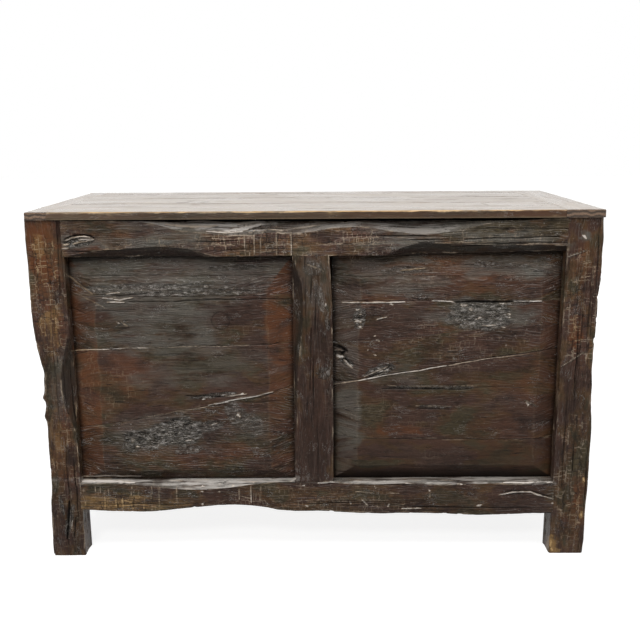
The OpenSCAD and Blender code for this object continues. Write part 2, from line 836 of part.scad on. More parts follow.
module drawer_runners() {
    z0 = drawer_floor - runner_h;
    y1 = face_y - front_rail_d;
    wall_x = side_x - panel_recess - thin_panel_t;
    color(inner_wood) {
        for (x = divider_places) {
            block([x - divider_w / 2 - runner_lap, cross_y1, z0],
                [x + divider_w / 2 + runner_lap, y1, drawer_floor]);
            block([x - divider_w / 2, cross_y1, z0], [x + divider_w / 2, y1, drawer_floor + guide_h]);
        }
        for (side = [0, 1]) mirror([side, 0, 0]) {
            block([inner_x - runner_lap, cross_y1, z0], [inner_x, y1, drawer_floor]);
            block([inner_x - root, cross_y1, z0], [wall_x, inner_y, drawer_floor]);
            block([inner_x, cross_y1, z0], [wall_x, inner_y, drawer_floor + guide_h]);
        }
    }
}

// Iron pull on a face at y: a plate, an eye on a split pin through the wood, and its bent ends
eye_sunk = 1;
eye_stand = eye_r + eye_wire_r + plate_t - eye_sunk;

module eye_place(x, y, z) {
    translate([x, y + eye_stand, z]) children();
}

module pin_hole(x, y, z, wood) {
    translate([x, y + 1, z]) rotate([90, 0, 0]) cylinder(h = wood + 2, r = eye_wire_r + joint_gap);
}

module pull(x, y, z, wood) {
    color(iron) {
        translate([x, y + plate_t, z]) rotate([90, 0, 0]) cylinder(h = plate_t, r = plate_r);
        eye_place(x, y, z) rotate([0, 90, 0]) rotate_extrude() translate([eye_r, 0]) circle(eye_wire_r);
        translate([x, y + plate_t, z]) rotate([90, 0, 0])
            cylinder(h = wood + plate_t + eye_wire_r, r = eye_wire_r);
        translate([x, y - wood - eye_wire_r, z - clinch_l]) cylinder(h = 2 * clinch_l, r = eye_wire_r);
    }
}

// The ring hangs on the lower inner side of the eye
module ring(x, y, z) {
    drop = eye_r - eye_wire_r - ring_wire_r - hang_gap;
    color(iron) eye_place(x, y, z) translate([0, 0, -drop - ring_r])
        rotate([90, 0, 0]) rotate_extrude() translate([ring_r, 0]) circle(ring_wire_r);
}

// Drawers, counted from the left: 0, 1 and 2
function drawer_x(k) = (k - 1) * divider_step;
drawer_face = face_y - front_set;
drawer_back_of_front = drawer_face - drawer_front_t;
drawer_front_z0 = drawer_floor + drawer_gap;
drawer_front_z1 = drawer_top - drawer_gap;
drawer_pull_z = drawer_floor + 0.6 * drawer_open_h;
drawer_rebate = 8;

module drawer_front(k) {
    x = drawer_x(k);
    half = drawer_w / 2 - drawer_gap;
    z0 = drawer_floor + runner_gap;
    color(back_wood) difference() {
        block([x - half, drawer_back_of_front, drawer_front_z0], [x + half, drawer_face, drawer_front_z1]);
        for (side = [-1, 1]) {
            a = x + side * (half - drawer_side_t - joint_gap);
            b = x + side * (half + 1);
            block([min(a, b), drawer_back_of_front - 1, drawer_front_z0 - 1],
                [max(a, b), drawer_back_of_front + drawer_rebate, z0 + drawer_side_h + joint_gap]);
        }
        drawer_bottom(k, joint_gap);
        pin_hole(x, drawer_face, drawer_pull_z, drawer_front_t);
    }
}

// The bottom and back of a drawer stand this far in the grooves of the sides
drawer_edge_in = 5;
drawer_bottom_up = 8;
drawer_box_y0 = drawer_back_of_front - drawer_box_l;
drawer_back_y0 = drawer_box_y0 + 8;

// The drawer bottom, set into grooves in the sides, back and front
module drawer_bottom(k, grow) {
    x = drawer_x(k);
    half = drawer_w / 2 - drawer_gap - drawer_side_t + drawer_edge_in + grow;
    z0 = drawer_floor + runner_gap + drawer_bottom_up;
    y0 = drawer_back_y0 + drawer_side_t - drawer_edge_in;
    y1 = drawer_back_of_front + drawer_edge_in;
    block([x - half, y0 - grow, z0 - grow], [x + half, y1 + grow, z0 + drawer_bottom_t + grow]);
}

// The drawer back, set into grooves in the sides
module drawer_back(k, grow) {
    x = drawer_x(k);
    half = drawer_w / 2 - drawer_gap - drawer_side_t + drawer_edge_in + grow;
    z0 = drawer_floor + runner_gap;
    block([x - half, drawer_back_y0 - grow, z0 - grow],
        [x + half, drawer_back_y0 + drawer_side_t + grow, z0 + drawer_side_h + grow]);
}

module drawer_box(k) {
    x = drawer_x(k);
    half = drawer_w / 2 - drawer_gap;
    z0 = drawer_floor + runner_gap;
    y1 = drawer_back_of_front + drawer_rebate - joint_gap;
    color(inner_wood) {
        difference() {
            for (side = [-1, 1]) {
                a = x + side * half;
                b = x + side * (half - drawer_side_t);
                block([min(a, b), drawer_box_y0, z0], [max(a, b), y1, z0 + drawer_side_h]);
            }
            drawer_bottom(k, joint_gap);
            drawer_back(k, joint_gap);
        }
        difference() {
            drawer_back(k, 0);
            drawer_bottom(k, joint_gap);
        }
        drawer_bottom(k, 0);
    }
}

module drawer_pull(k) {
    pull(drawer_x(k), drawer_face, drawer_pull_z, drawer_front_t);
}

module drawer_ring(k) {
    ring(drawer_x(k), drawer_face, drawer_pull_z);
}

// Doors: drawn at the left, mirrored for the right
door_x0 = -door_open_w / 2 + door_gap;
door_x1 = -door_gap / 2;
door_panel_recess = 4;
door_tenon_t = 8;
door_pull_x = door_x1 - door_stile_w / 2;
door_pull_z = (door_z0 + door_z1) / 2 + pull_over_mid;

module door_groove() {
    to_front() panel_groove(-door_x1 + door_stile_w, -door_x0 - door_stile_w, door_z0 + door_rail_h,
        door_z1 - door_rail_h, door_y1, door_panel_t, door_tongue_t, door_panel_recess);
}

module door_rail_tenons(grown = false) {
    y0 = door_y1 - door_panel_recess - door_panel_t;
    for (z = [door_z0, door_z1 - door_rail_h], stile = [0, 1]) {
        shoulder = stile == 0 ? door_x0 + door_stile_w : door_x1 - door_stile_w;
        way = stile == 0 ? -1 : 1;
        a = shoulder - way * root;
        b = shoulder + way * door_tenon_l;
        lo = [min(a, b), y0, z + tenon_in];
        hi = [max(a, b), y0 + door_tenon_t, z + door_rail_h - tenon_in];
        if (grown) mortise(lo, hi); else block(lo, hi);
    }
}

module door_stiles() {
    color(back_wood) {
        difference() {
            union() {
                block([-pivot_x, door_y0, door_z0], [door_x0 + door_stile_w, door_y1, door_z1]);
                translate([-pivot_x, pivot_y, door_z0]) cylinder(h = door_z1 - door_z0, r = door_t / 2);
            }
            door_rail_tenons(true);
            door_groove();
        }
        translate([-pivot_x, pivot_y, door_z0 - pivot_foot_l])
            cylinder(h = pivot_foot_l + root, r = pivot_r);
        translate([-pivot_x, pivot_y, door_z1 - root]) cylinder(h = pivot_top_l + root, r = pivot_r);
        difference() {
            block([door_x1 - door_stile_w, door_y0, door_z0], [door_x1, door_y1, door_z1]);
            door_rail_tenons(true);
            door_groove();
            pin_hole(door_pull_x, door_y1, door_pull_z, door_t);
        }
    }
}

module door_rails() {
    color(back_wood) {
        difference() {
            for (z = [door_z0, door_z1 - door_rail_h])
                block([door_x0 + door_stile_w, door_y0, z],
                    [door_x1 - door_stile_w, door_y1, z + door_rail_h]);
            door_groove();
        }
        door_rail_tenons();
    }
}

module door_panel() {
    widths = [door_bevel, door_bevel, door_bevel, door_bevel];
    color(panel_wood) to_front()
        raised_panel(-door_x1 + door_stile_w, -door_x0 - door_stile_w, door_z0 + door_rail_h,
            door_z1 - door_rail_h, door_y1, door_panel_t, door_tongue_t, door_panel_recess, widths);
}

module door_pull() {
    pull(door_pull_x, door_y1, door_pull_z, door_t);
}

module door_ring() {
    ring(door_pull_x, door_y1, door_pull_z);
}

module right_side() {
    mirror([1, 0, 0]) children();
}

post_back_left();
post_back_right();
post_front(-1);  // post_front_left
post_front(1);  // post_front_right
back_top_rail();
back_bottom_rail();
back_muntin();
back_left_board(0);  // back_left_board_1
back_left_board(1);  // back_left_board_2
back_left_board(2);  // back_left_board_3
back_left_board(3);  // back_left_board_4
back_right_board(0);  // back_right_board_1
back_right_board(1);  // back_right_board_2
back_right_board(2);  // back_right_board_3
back_right_board(3);  // back_right_board_4
left_rail(side_open_top, frame_top);  // left_top_rail
left_rail(foot_h, base_top);  // left_bottom_rail
left_panel();  // left_panel_boards
right_side() left_rail(side_open_top, frame_top);  // right_top_rail
right_side() left_rail(foot_h, base_top);  // right_bottom_rail
right_side() left_panel();  // right_panel_boards
top_end(-case_w / 2, top_left, top_left, -1);  // top_end_left
top_end(top_right, case_w / 2, top_right, 1);  // top_end_right
plank(0);  // top_plank_1
plank(1);  // top_plank_2
plank(2);  // top_plank_3
plank(3);  // top_plank_4
top_battens();
front_top_rail();
front_drawer_rail();
front_bottom_rail();
drawer_dividers();
door_jambs();
front_fixed_panels();
floor_boards();
door_stops();
runner_cross_rail();
drawer_runners();
drawer_front(0);  // drawer_left_front
drawer_box(0);  // drawer_left_box
drawer_pull(0);  // drawer_left_pull
drawer_ring(0);  // drawer_left_ring
drawer_front(1);  // drawer_middle_front
drawer_box(1);  // drawer_middle_box
drawer_pull(1);  // drawer_middle_pull
drawer_ring(1);  // drawer_middle_ring
drawer_front(2);  // drawer_right_front
drawer_box(2);  // drawer_right_box
drawer_pull(2);  // drawer_right_pull
drawer_ring(2);  // drawer_right_ring
door_stiles();  // door_left_stiles
door_rails();  // door_left_rails
door_panel();  // door_left_panel
door_pull();  // door_left_pull
door_ring();  // door_left_ring
right_side() door_stiles();  // door_right_stiles
right_side() door_rails();  // door_right_rails
right_side() door_panel();  // door_right_panel
right_side() door_pull();  // door_right_pull
right_side() door_ring();  // door_right_ring
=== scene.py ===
"""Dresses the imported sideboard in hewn, lacquered wood and forged iron, and sets up its studio.

Sizes in the surface functions are millimetres, and put_mesh turns them into metres. The case stands
with its panelled back towards -Y and its drawers and doors towards +Y.
"""

import json
import math
import zlib
from collections import namedtuple

import bpy
import numpy as np
from bpy.props import FloatProperty, FloatVectorProperty, PointerProperty
from bpy.types import Operator, Panel, PropertyGroup
from mathutils import Matrix, Vector

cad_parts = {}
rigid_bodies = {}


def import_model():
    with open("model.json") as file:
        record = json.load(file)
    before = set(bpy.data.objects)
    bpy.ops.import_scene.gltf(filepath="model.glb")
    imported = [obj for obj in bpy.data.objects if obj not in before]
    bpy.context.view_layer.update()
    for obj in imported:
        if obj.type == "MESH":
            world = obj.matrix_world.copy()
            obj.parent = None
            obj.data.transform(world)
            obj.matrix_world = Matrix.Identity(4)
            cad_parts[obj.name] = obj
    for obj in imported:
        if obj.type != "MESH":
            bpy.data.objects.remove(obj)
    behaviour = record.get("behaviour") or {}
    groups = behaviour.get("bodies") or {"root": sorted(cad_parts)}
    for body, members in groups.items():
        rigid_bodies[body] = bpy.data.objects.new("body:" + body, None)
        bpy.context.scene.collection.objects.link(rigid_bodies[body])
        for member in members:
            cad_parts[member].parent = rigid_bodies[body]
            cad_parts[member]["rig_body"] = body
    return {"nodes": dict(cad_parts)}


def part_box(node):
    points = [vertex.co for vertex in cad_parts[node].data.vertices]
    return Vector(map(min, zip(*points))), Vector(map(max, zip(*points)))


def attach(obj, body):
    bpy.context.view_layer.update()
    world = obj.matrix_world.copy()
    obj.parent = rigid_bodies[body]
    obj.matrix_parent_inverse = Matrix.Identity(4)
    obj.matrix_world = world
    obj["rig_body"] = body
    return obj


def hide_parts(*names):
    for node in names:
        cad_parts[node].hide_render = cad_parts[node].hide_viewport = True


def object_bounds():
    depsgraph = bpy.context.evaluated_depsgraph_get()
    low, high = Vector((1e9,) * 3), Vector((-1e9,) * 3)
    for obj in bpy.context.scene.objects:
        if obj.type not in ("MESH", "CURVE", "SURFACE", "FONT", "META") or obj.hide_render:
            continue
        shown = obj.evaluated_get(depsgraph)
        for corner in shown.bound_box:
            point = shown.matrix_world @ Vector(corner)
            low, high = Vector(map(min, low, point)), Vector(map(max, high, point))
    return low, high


bl_info = {
    "name": "Rustic Sideboard",
    "version": (1, 0, 0),
    "blender": (4, 5, 0),
    "location": "3D View > Sidebar > Sideboard",
    "description": "Hewn wood, worn lacquer and iron ring pulls for a framed sideboard",
    "category": "Add Mesh",
}

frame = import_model()
CAD_BOX = [list(corner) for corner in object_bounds()]
MM = 0.001

# The camera, as solved from the photograph's perspective: metres and radians
CAMERA_PLACE = (0.012065, -2.124456, 1.002665)
CAMERA_YAW, CAMERA_PITCH, CAMERA_ROLL = -0.0012, 0.2254, 0.0054
FOCAL_PIXELS, PHOTO_PIXELS, SENSOR = 840.6, 640, 36.0


def node_box(node):
    """The lowest and highest corner of a CAD node, in millimetres."""
    low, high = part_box(node)
    return np.array(low) / MM, np.array(high) / MM


# Faces of the case that the dressed timbers share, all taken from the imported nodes
POST_FRONT = node_box("post_front_right")
MUNTIN = node_box("back_muntin")
INNER_X = -node_box("post_back_left")[1][0]
SIDE_X, FACE_Y = POST_FRONT[1][:2]
INNER_Y = POST_FRONT[0][1]
TOP_Z = CAD_BOX[1][2] / MM
FRAME_TOP = node_box("top_plank_1")[0][2]
FOOT_Z, BASE_TOP = (corner[2] for corner in node_box("back_bottom_rail"))
RAIL_LOW = node_box("back_top_rail")[0][2]
# The camera's eye, and its distance from the back's face
EYE_X, EYE_Z = CAMERA_PLACE[0] / MM, CAMERA_PLACE[2] / MM
SIGHT = -CAMERA_PLACE[1] / MM - FACE_Y


# Noise and curves

def hashed(i, j, seed):
    """Numbers from 0 to 1 that look random, one for each pair of whole numbers: the pair and the seed
    are multiplied by large odd numbers, added, and mixed by shifting and multiplying."""
    n = i.astype(np.int64) * 374761393 + j.astype(np.int64) * 668265263 + (seed % 100003) * 974634777
    n &= 0xFFFFFFFF
    n = ((n ^ (n >> 13)) * 1274126177) & 0xFFFFFFFF
    return ((n ^ (n >> 16)) & 0xFFFFFF) / float(0xFFFFFF)


def cloud(a, b, seed, octaves=4, rough=0.5):
    """Cloudy noise from -1 to 1: values at whole-number places, blended across each cell by the cubic
    3t squared less 2t cubed, and summed over octaves of half the size and rough times the height."""
    a, b = np.broadcast_arrays(np.asarray(a, float), np.asarray(b, float))
    total, height, reach = np.zeros(a.shape), 1.0, 0.0
    for k in range(octaves):
        x, y = a * 2 ** k + 17.3 * k, b * 2 ** k + 9.1 * k
        i, j = np.floor(x), np.floor(y)
        u, v = x - i, y - j
        u, v = u * u * (3 - 2 * u), v * v * (3 - 2 * v)
        low = hashed(i, j, seed + k) * (1 - u) + hashed(i + 1, j, seed + k) * u
        high = hashed(i, j + 1, seed + k) * (1 - u) + hashed(i + 1, j + 1, seed + k) * u
        total += height * ((low * (1 - v) + high * v) * 2 - 1)
        reach += height
        height *= rough
    return total / reach


def scoops(a, b, seed):
    """Tool cuts, from 0 in the middle of a cut to about 1 at its ridges: the lowest of paraboloids
    that stand on one jittered point in each unit cell and its eight neighbours."""
    i, j = np.floor(a), np.floor(b)
    lowest = np.full(np.shape(a), 9.0)
    for di in (-1, 0, 1):
        for dj in (-1, 0, 1):
            ci = i + di + hashed(i + di, j + dj, seed)
            cj = j + dj + hashed(i + di, j + dj, seed + 1)
            lift = 0.35 * hashed(i + di, j + dj, seed + 2)
            lowest = np.minimum(lowest, (a - ci) ** 2 + (b - cj) ** 2 + lift)
    return np.clip(lowest, 0, 1)


def step(low, high, value):
    """0 below low, 1 above high, and the cubic 3t squared less 2t cubed between them."""
    t = np.clip((value - low) / (high - low), 0, 1)
    return t * t * (3 - 2 * t)


def through(points, at):
    """The smooth curve through points of (place, size): a cubic between each two, whose slopes at the
    points are those of the line from the point before to the point after."""
    p = np.array(points, float)
    slope = np.gradient(p[:, 1], p[:, 0])
    x = np.clip(at, p[0, 0], p[-1, 0])
    i = np.clip(np.searchsorted(p[:, 0], x) - 1, 0, len(p) - 2)
    h = p[i + 1, 0] - p[i, 0]
    t = (x - p[i, 0]) / h
    return (p[i, 1] * (2 * t ** 3 - 3 * t ** 2 + 1) + slope[i] * h * (t ** 3 - 2 * t ** 2 + t)
            + p[i + 1, 1] * (3 * t ** 2 - 2 * t ** 3) + slope[i + 1] * h * (t ** 3 - t ** 2))


def seed_of(name):
    """The same whole number for the same name, each time."""
    return zlib.crc32(name.encode()) % 99991


# Axes of a timber: along its length, across its face, and inwards from its face
AXES = {
    "back_rail": ((1, 0, 0), (0, 0, 1), (0, 1, 0)),
    "back_post": ((0, 0, 1), (1, 0, 0), (0, 1, 0)),
    "front_rail": ((1, 0, 0), (0, 0, 1), (0, -1, 0)),
    "front_post": ((0, 0, 1), (1, 0, 0), (0, -1, 0)),
    "left_rail": ((0, 1, 0), (0, 0, 1), (1, 0, 0)),
    "right_rail": ((0, 1, 0), (0, 0, 1), (-1, 0, 0)),
    "top_long": ((1, 0, 0), (0, 1, 0), (0, 0, -1)),
    "top_end": ((0, 1, 0), (1, 0, 0), (0, 0, -1)),
}


# What the photograph shows on the back, in millimetres: x from the middle, z from the floor.
# Torn or gouged wood: x, z, half length, half height, turn in degrees, depth
TORN = [
    (-332, 309, 76, 38, 8, 4.2), (-330, 649, 225, 15, -1, 2.3), (372, 586, 84, 36, -6, 3.2),
    (-185, 355, 26, 34, 30, 2.0), (-430, 283, 26, 22, 0, 3.0), (330, 575, 40, 12, 0, 2.0),
    (-522, 758, 34, 11, 6, 4.5), (146, 458, 38, 13, 14, 3.4), (64, 486, 30, 9, -42, 5.0),
    (-240, 400, 62, 6, 6, 3.2), (258, 418, 112, 5, -1, 2.4), (272, 371, 42, 4, -2, 2.2),
    (99, 582, 15, 26, -4, 3.4), (196, 690, 60, 9, 3, 1.8), (455, 616, 34, 7, 2, 2.2),
    (18, 454, 17, 15, 20, 2.4), (14, 622, 11, 42, 18, 1.4), (-5, 697, 20, 18, 0, 1.0),
    (26, 572, 5, 26, 8, 1.4), (-590, 92, 9, 46, -16, 4.0), (-606, 128, 5, 30, 8, 3.0),
    (-150, 330, 26, 34, 20, 1.2), (-440, 572, 16, 2.5, 30, 1.6), (495, 378, 17, 2.5, -28, 1.8),
    (-185, 700, 60, 8, 2, 1.6), (420, 700, 70, 8, -2, 1.6), (-412, 290, 50, 26, -8, 3.6),
    (-258, 322, 46, 15, 14, 2.6), (-300, 268, 40, 12, 4, 2.4),
]
# Cracks and scratches, and dark lines of painted shadow under the gouge's lip and under an overhanging
# board edge: width and depth, then x and z of each point
SCRATCHES = [
    (1.4, 1.2, 560, 718, 600, 733), (1.3, 1.2, 560, 465, 612, 500), (2.2, 5.0, -588, 140, -600, 42),
    (1.6, 3.0, -575, 100, -582, 48), (1.4, 2.0, -548, 500, -556, 540), (1.6, 2.0, 300, 742, 470, 748),
    (1.6, 2.2, 330, 760, 540, 764), (1.4, 1.6, 230, 752, 330, 757), (1.4, 1.4, -210, 738, -60, 741),
    (1.5, 1.6, 60, 128, 330, 121), (1.4, 1.6, -555, 612, -520, 596), (1.6, 2.6, -300, 400, -205, 397),
    (1.5, 2.6, 150, 415, 360, 413), (1.4, 2.2, 230, 366, 312, 364), (1.3, 1.0, -20, 705, 18, 690),
    (1.5, 1.8, -10, 560, -14, 410),
    (1.5, 5.0, -554, 764, -540, 770, -527, 773, -510, 774, -497, 772, -488, 767),
    (1.3, 3.0, -558, 758, -548, 756, -538, 757), (2.6, 7.0, 42, 519, 58, 514, 72, 504),
    (3.4, 7.0, 48, 503, 58, 499, 66, 503), (1.5, 4.0, 66, 488, 72, 482, 80, 471),
    (1.7, 5.0, 312, 618, 445, 618), (2.2, 3.0, 96, 582, 106, 581),
    (1.4, 3.0, 118, 440, 150, 452, 170, 470), (1.3, 2.2, -420, 622, -250, 626, -60, 629),
    (1.3, 2.0, -500, 640, -440, 636, -380, 640),
    (1.3, 3.0, 440, 158, 465, 162, 506, 162, 524, 155, 558, 146),
]
# Bright worn lines, and painted highlights along the top rail's wane and the bottom rail's top edge: width
# and strength, then x and z of each point
RUBBED = [
    (1.8, 1.0, -250, 377, -100, 408), (1.2, 0.45, -400, 347, -250, 375),
    (1.1, 0.7, -556, 510, -380, 516), (1.0, 0.35, -380, 515, -150, 519),
    (1.1, 0.25, -530, 640, -470, 606), (1.2, 0.8, 560, 719, 600, 734), (1.1, 0.7, 560, 466, 612, 501),
    (1.0, 0.6, -20, 706, 18, 691), (2.2, 1.0, 590, 768, 599, 760), (1.2, 0.5, 190, 690, 245, 696),
    (1.0, 0.6, -440, 576, -425, 566), (1.1, 0.5, 150, 424, 370, 420), (1.4, 0.7, -210, 398, -160, 404),
    (1.1, 0.4, 230, 374, 310, 371), (1.0, 0.6, 480, 386, 510, 371),
    (1.5, 1.0, -552, 761, -541, 766, -520, 770, -505, 770, -497, 768),
    (2.3, 1.2, -522, 763, -508, 764, -490, 763), (1.5, 0.6, -536, 754, -520, 758, -504, 760),
    (1.4, 0.8, -556, 752, -546, 753), (1.3, 0.8, -562, 744, -546, 744),
    (2.6, 1.3, 47, 495, 56, 491, 63, 490), (1.2, 0.7, 42, 507, 53, 508),
    (1.7, 0.9, 64, 485, 72, 477, 83, 465), (1.3, 1.2, 60, 618, 200, 618),
    (1.4, 1.0, 262, 621, 304, 620, 314, 615), (2.0, 1.4, 446, 619, 508, 620),
    (1.6, 0.9, 97, 435, 120, 439, 150, 446), (1.2, 0.75, 140, 443, 200, 453, 300, 470),
    (1.0, 0.5, 300, 470, 400, 486, 490, 498), (1.0, 0.5, 41, 427, 97, 435),
    (1.2, 0.7, 110, 444, 130, 453, 165, 467), (1.2, 0.9, 138, 579, 162, 585),
    (1.2, 0.8, -470, 640, -440, 643), (1.4, 0.9, -480, 632, -440, 627, -410, 633),
    (1.4, 1.0, -470, 622, -430, 621), (4.2, 1.1, -188, 783, -162, 785, -142, 790, -120, 796),
    (1.7, 0.8, -240, 782, -195, 778, -160, 780), (2.2, 0.7, -170, 797, -130, 801),
    (2.0, 0.55, -110, 787, -72, 783, -30, 788, 10, 795), (2.4, 0.5, -330, 797, -270, 792, -215, 793),
    (1.2, 0.35, -556, 690, -525, 660, -500, 640), (1.1, 0.5, -549, 140, -551, 120),
    (1.1, 0.5, -523, 178, -524, 165), (1.1, 0.5, -511, 178, -512, 162), (1.1, 0.6, -501, 171, -504, 114),
    (1.1, 0.5, -492, 174, -493, 158), (1.2, 0.7, -475, 162, -478, 113), (1.3, 0.8, -460, 149, -462, 113),
    (1.1, 0.5, -437, 177, -439, 155), (1.1, 0.45, -372, 177, -375, 116),
    (1.1, 0.4, -331, 177, -333, 122), (1.1, 0.5, -183, 170, -184, 144), (1.2, 0.7, -155, 179, -156, 134),
    (1.1, 0.5, -133, 176, -134, 134), (1.1, 0.5, -409, 148, -411, 120), (1.1, 0.4, -390, 180, -392, 145),
    (1.1, 0.5, -534, 151, -478, 147), (1.1, 0.5, -458, 129, -419, 132), (1.1, 0.5, -181, 152, -154, 145),
    # The first line here is a painted highlight along the bottom rail's top edge
    (3.4, 1.3, -552, 194, -500, 193, -430, 188), (1.4, 0.8, -551, 203, -480, 204, -414, 203),
    (1.1, 0.4, -254, 768, -260, 743), (1.2, 0.55, -202, 768, -197, 737),
    (1.2, 0.55, -157, 776, -155, 734), (1.1, 0.5, -135, 773, -135, 729),
    (1.1, 0.5, -119, 776, -122, 726), (1.1, 0.5, -86, 776, -86, 726), (1.2, 0.6, -52, 778, -53, 725),
    (1.1, 0.5, -199, 769, -160, 772), (1.1, 0.3, -254, 770, -201, 769), (1.1, 0.45, -119, 734, -89, 737),
    (1.2, 0.5, 92, 162, 136, 157), (1.2, 0.5, 169, 158, 195, 156), (1.5, 1.0, 107, 141, 122, 125),
    (1.4, 0.8, 202, 118, 247, 118), (1.5, 0.9, 432, 153, 465, 158, 506, 158, 524, 150, 563, 140),
    (1.1, 0.4, 269, 158, 267, 142), (1.8, 0.8, 210, 183, 233, 180), (2.4, 1.0, 440, 184, 558, 185),
    (1.6, 1.2, 3, 184, 41, 187), (1.2, 0.7, 136, 177, 140, 169), (1.1, 0.4, 142, 126, 148, 117),
    (1.2, 0.5, 187, 126, 208, 128),
]
# Pale chips: x, z, half length, half height, turn in degrees
CHIPS = [
    (94, 601, 5, 2.2, 15), (101, 590, 4, 1.5, 0), (97, 574, 9, 3.6, -8), (101, 561, 5, 2.6, -20),
    (171, 614, 5, 1.8, -15), (135, 496, 4, 2, -20), (118, 507, 2, 2.5, 0), (134, 540, 2, 2.5, 0),
    (140, 530, 5, 1.4, -15), (151, 457, 11, 2.2, 4), (164, 475, 5, 1.4, 0), (333, 610, 7, 3, -10),
    (350, 600, 5, 2.6, -30), (371, 581, 5, 2.4, 10), (362, 577, 3, 2.4, 20), (393, 563, 15, 1.8, 2),
    (425, 559, 5, 1.6, -10), (437, 590, 4, 1.8, -20), (438, 582, 3, 2, 0), (420, 614, 9, 1.4, -8),
    (595, 766, 4.5, 4, 30), (629, 190, 3, 6, 0), (629, 100, 3, 5, 0), (561, 26, 3, 9, -6),
    (564, 10, 3, 5, 20), (-170, 405, 4, 2, 0), (-260, 392, 6, 1.8, 10), (-446, 574, 5, 1.6, -20),
    (-240, 330, 10, 2, 12), (-180, 352, 4, 6, 20), (-300, 290, 9, 1.6, 12), (-420, 275, 5, 3, 0),
    (-430, 290, 3, 5, 0), (488, 378, 6, 1.8, -35), (490, 372, 2, 3, 10), (-586, 80, 1.8, 12, -8),
    (-596, 60, 1.6, 14, 4), (-150, 186, 5, 2, 0), (-230, 184, 4, 2, 0), (560, 130, 4, 2, 0),
    (22, 612, 2.5, 6, -20), (-470, 116, 3, 2, 0), (80, 133, 2, 6, 20), (170, 126, 2, 5, -20),
    (-30, 178, 4, 2, 0), (-269, 178, 5, 2.6, 0), (-198, 179, 4, 3, 30), (-271, 132, 3, 3, 0),
    (-24, 126, 5, 2, -20), (-56, 194, 8, 3.5, 30), (-322, 120, 5, 1.5, 0), (-272, 164, 4, 1.6, 0),
    (-231, 163, 4, 2, 0), (341, 180, 8, 2.6, -5), (386, 125, 11, 2.4, 12), (266, 165, 2.5, 4, 20),
]
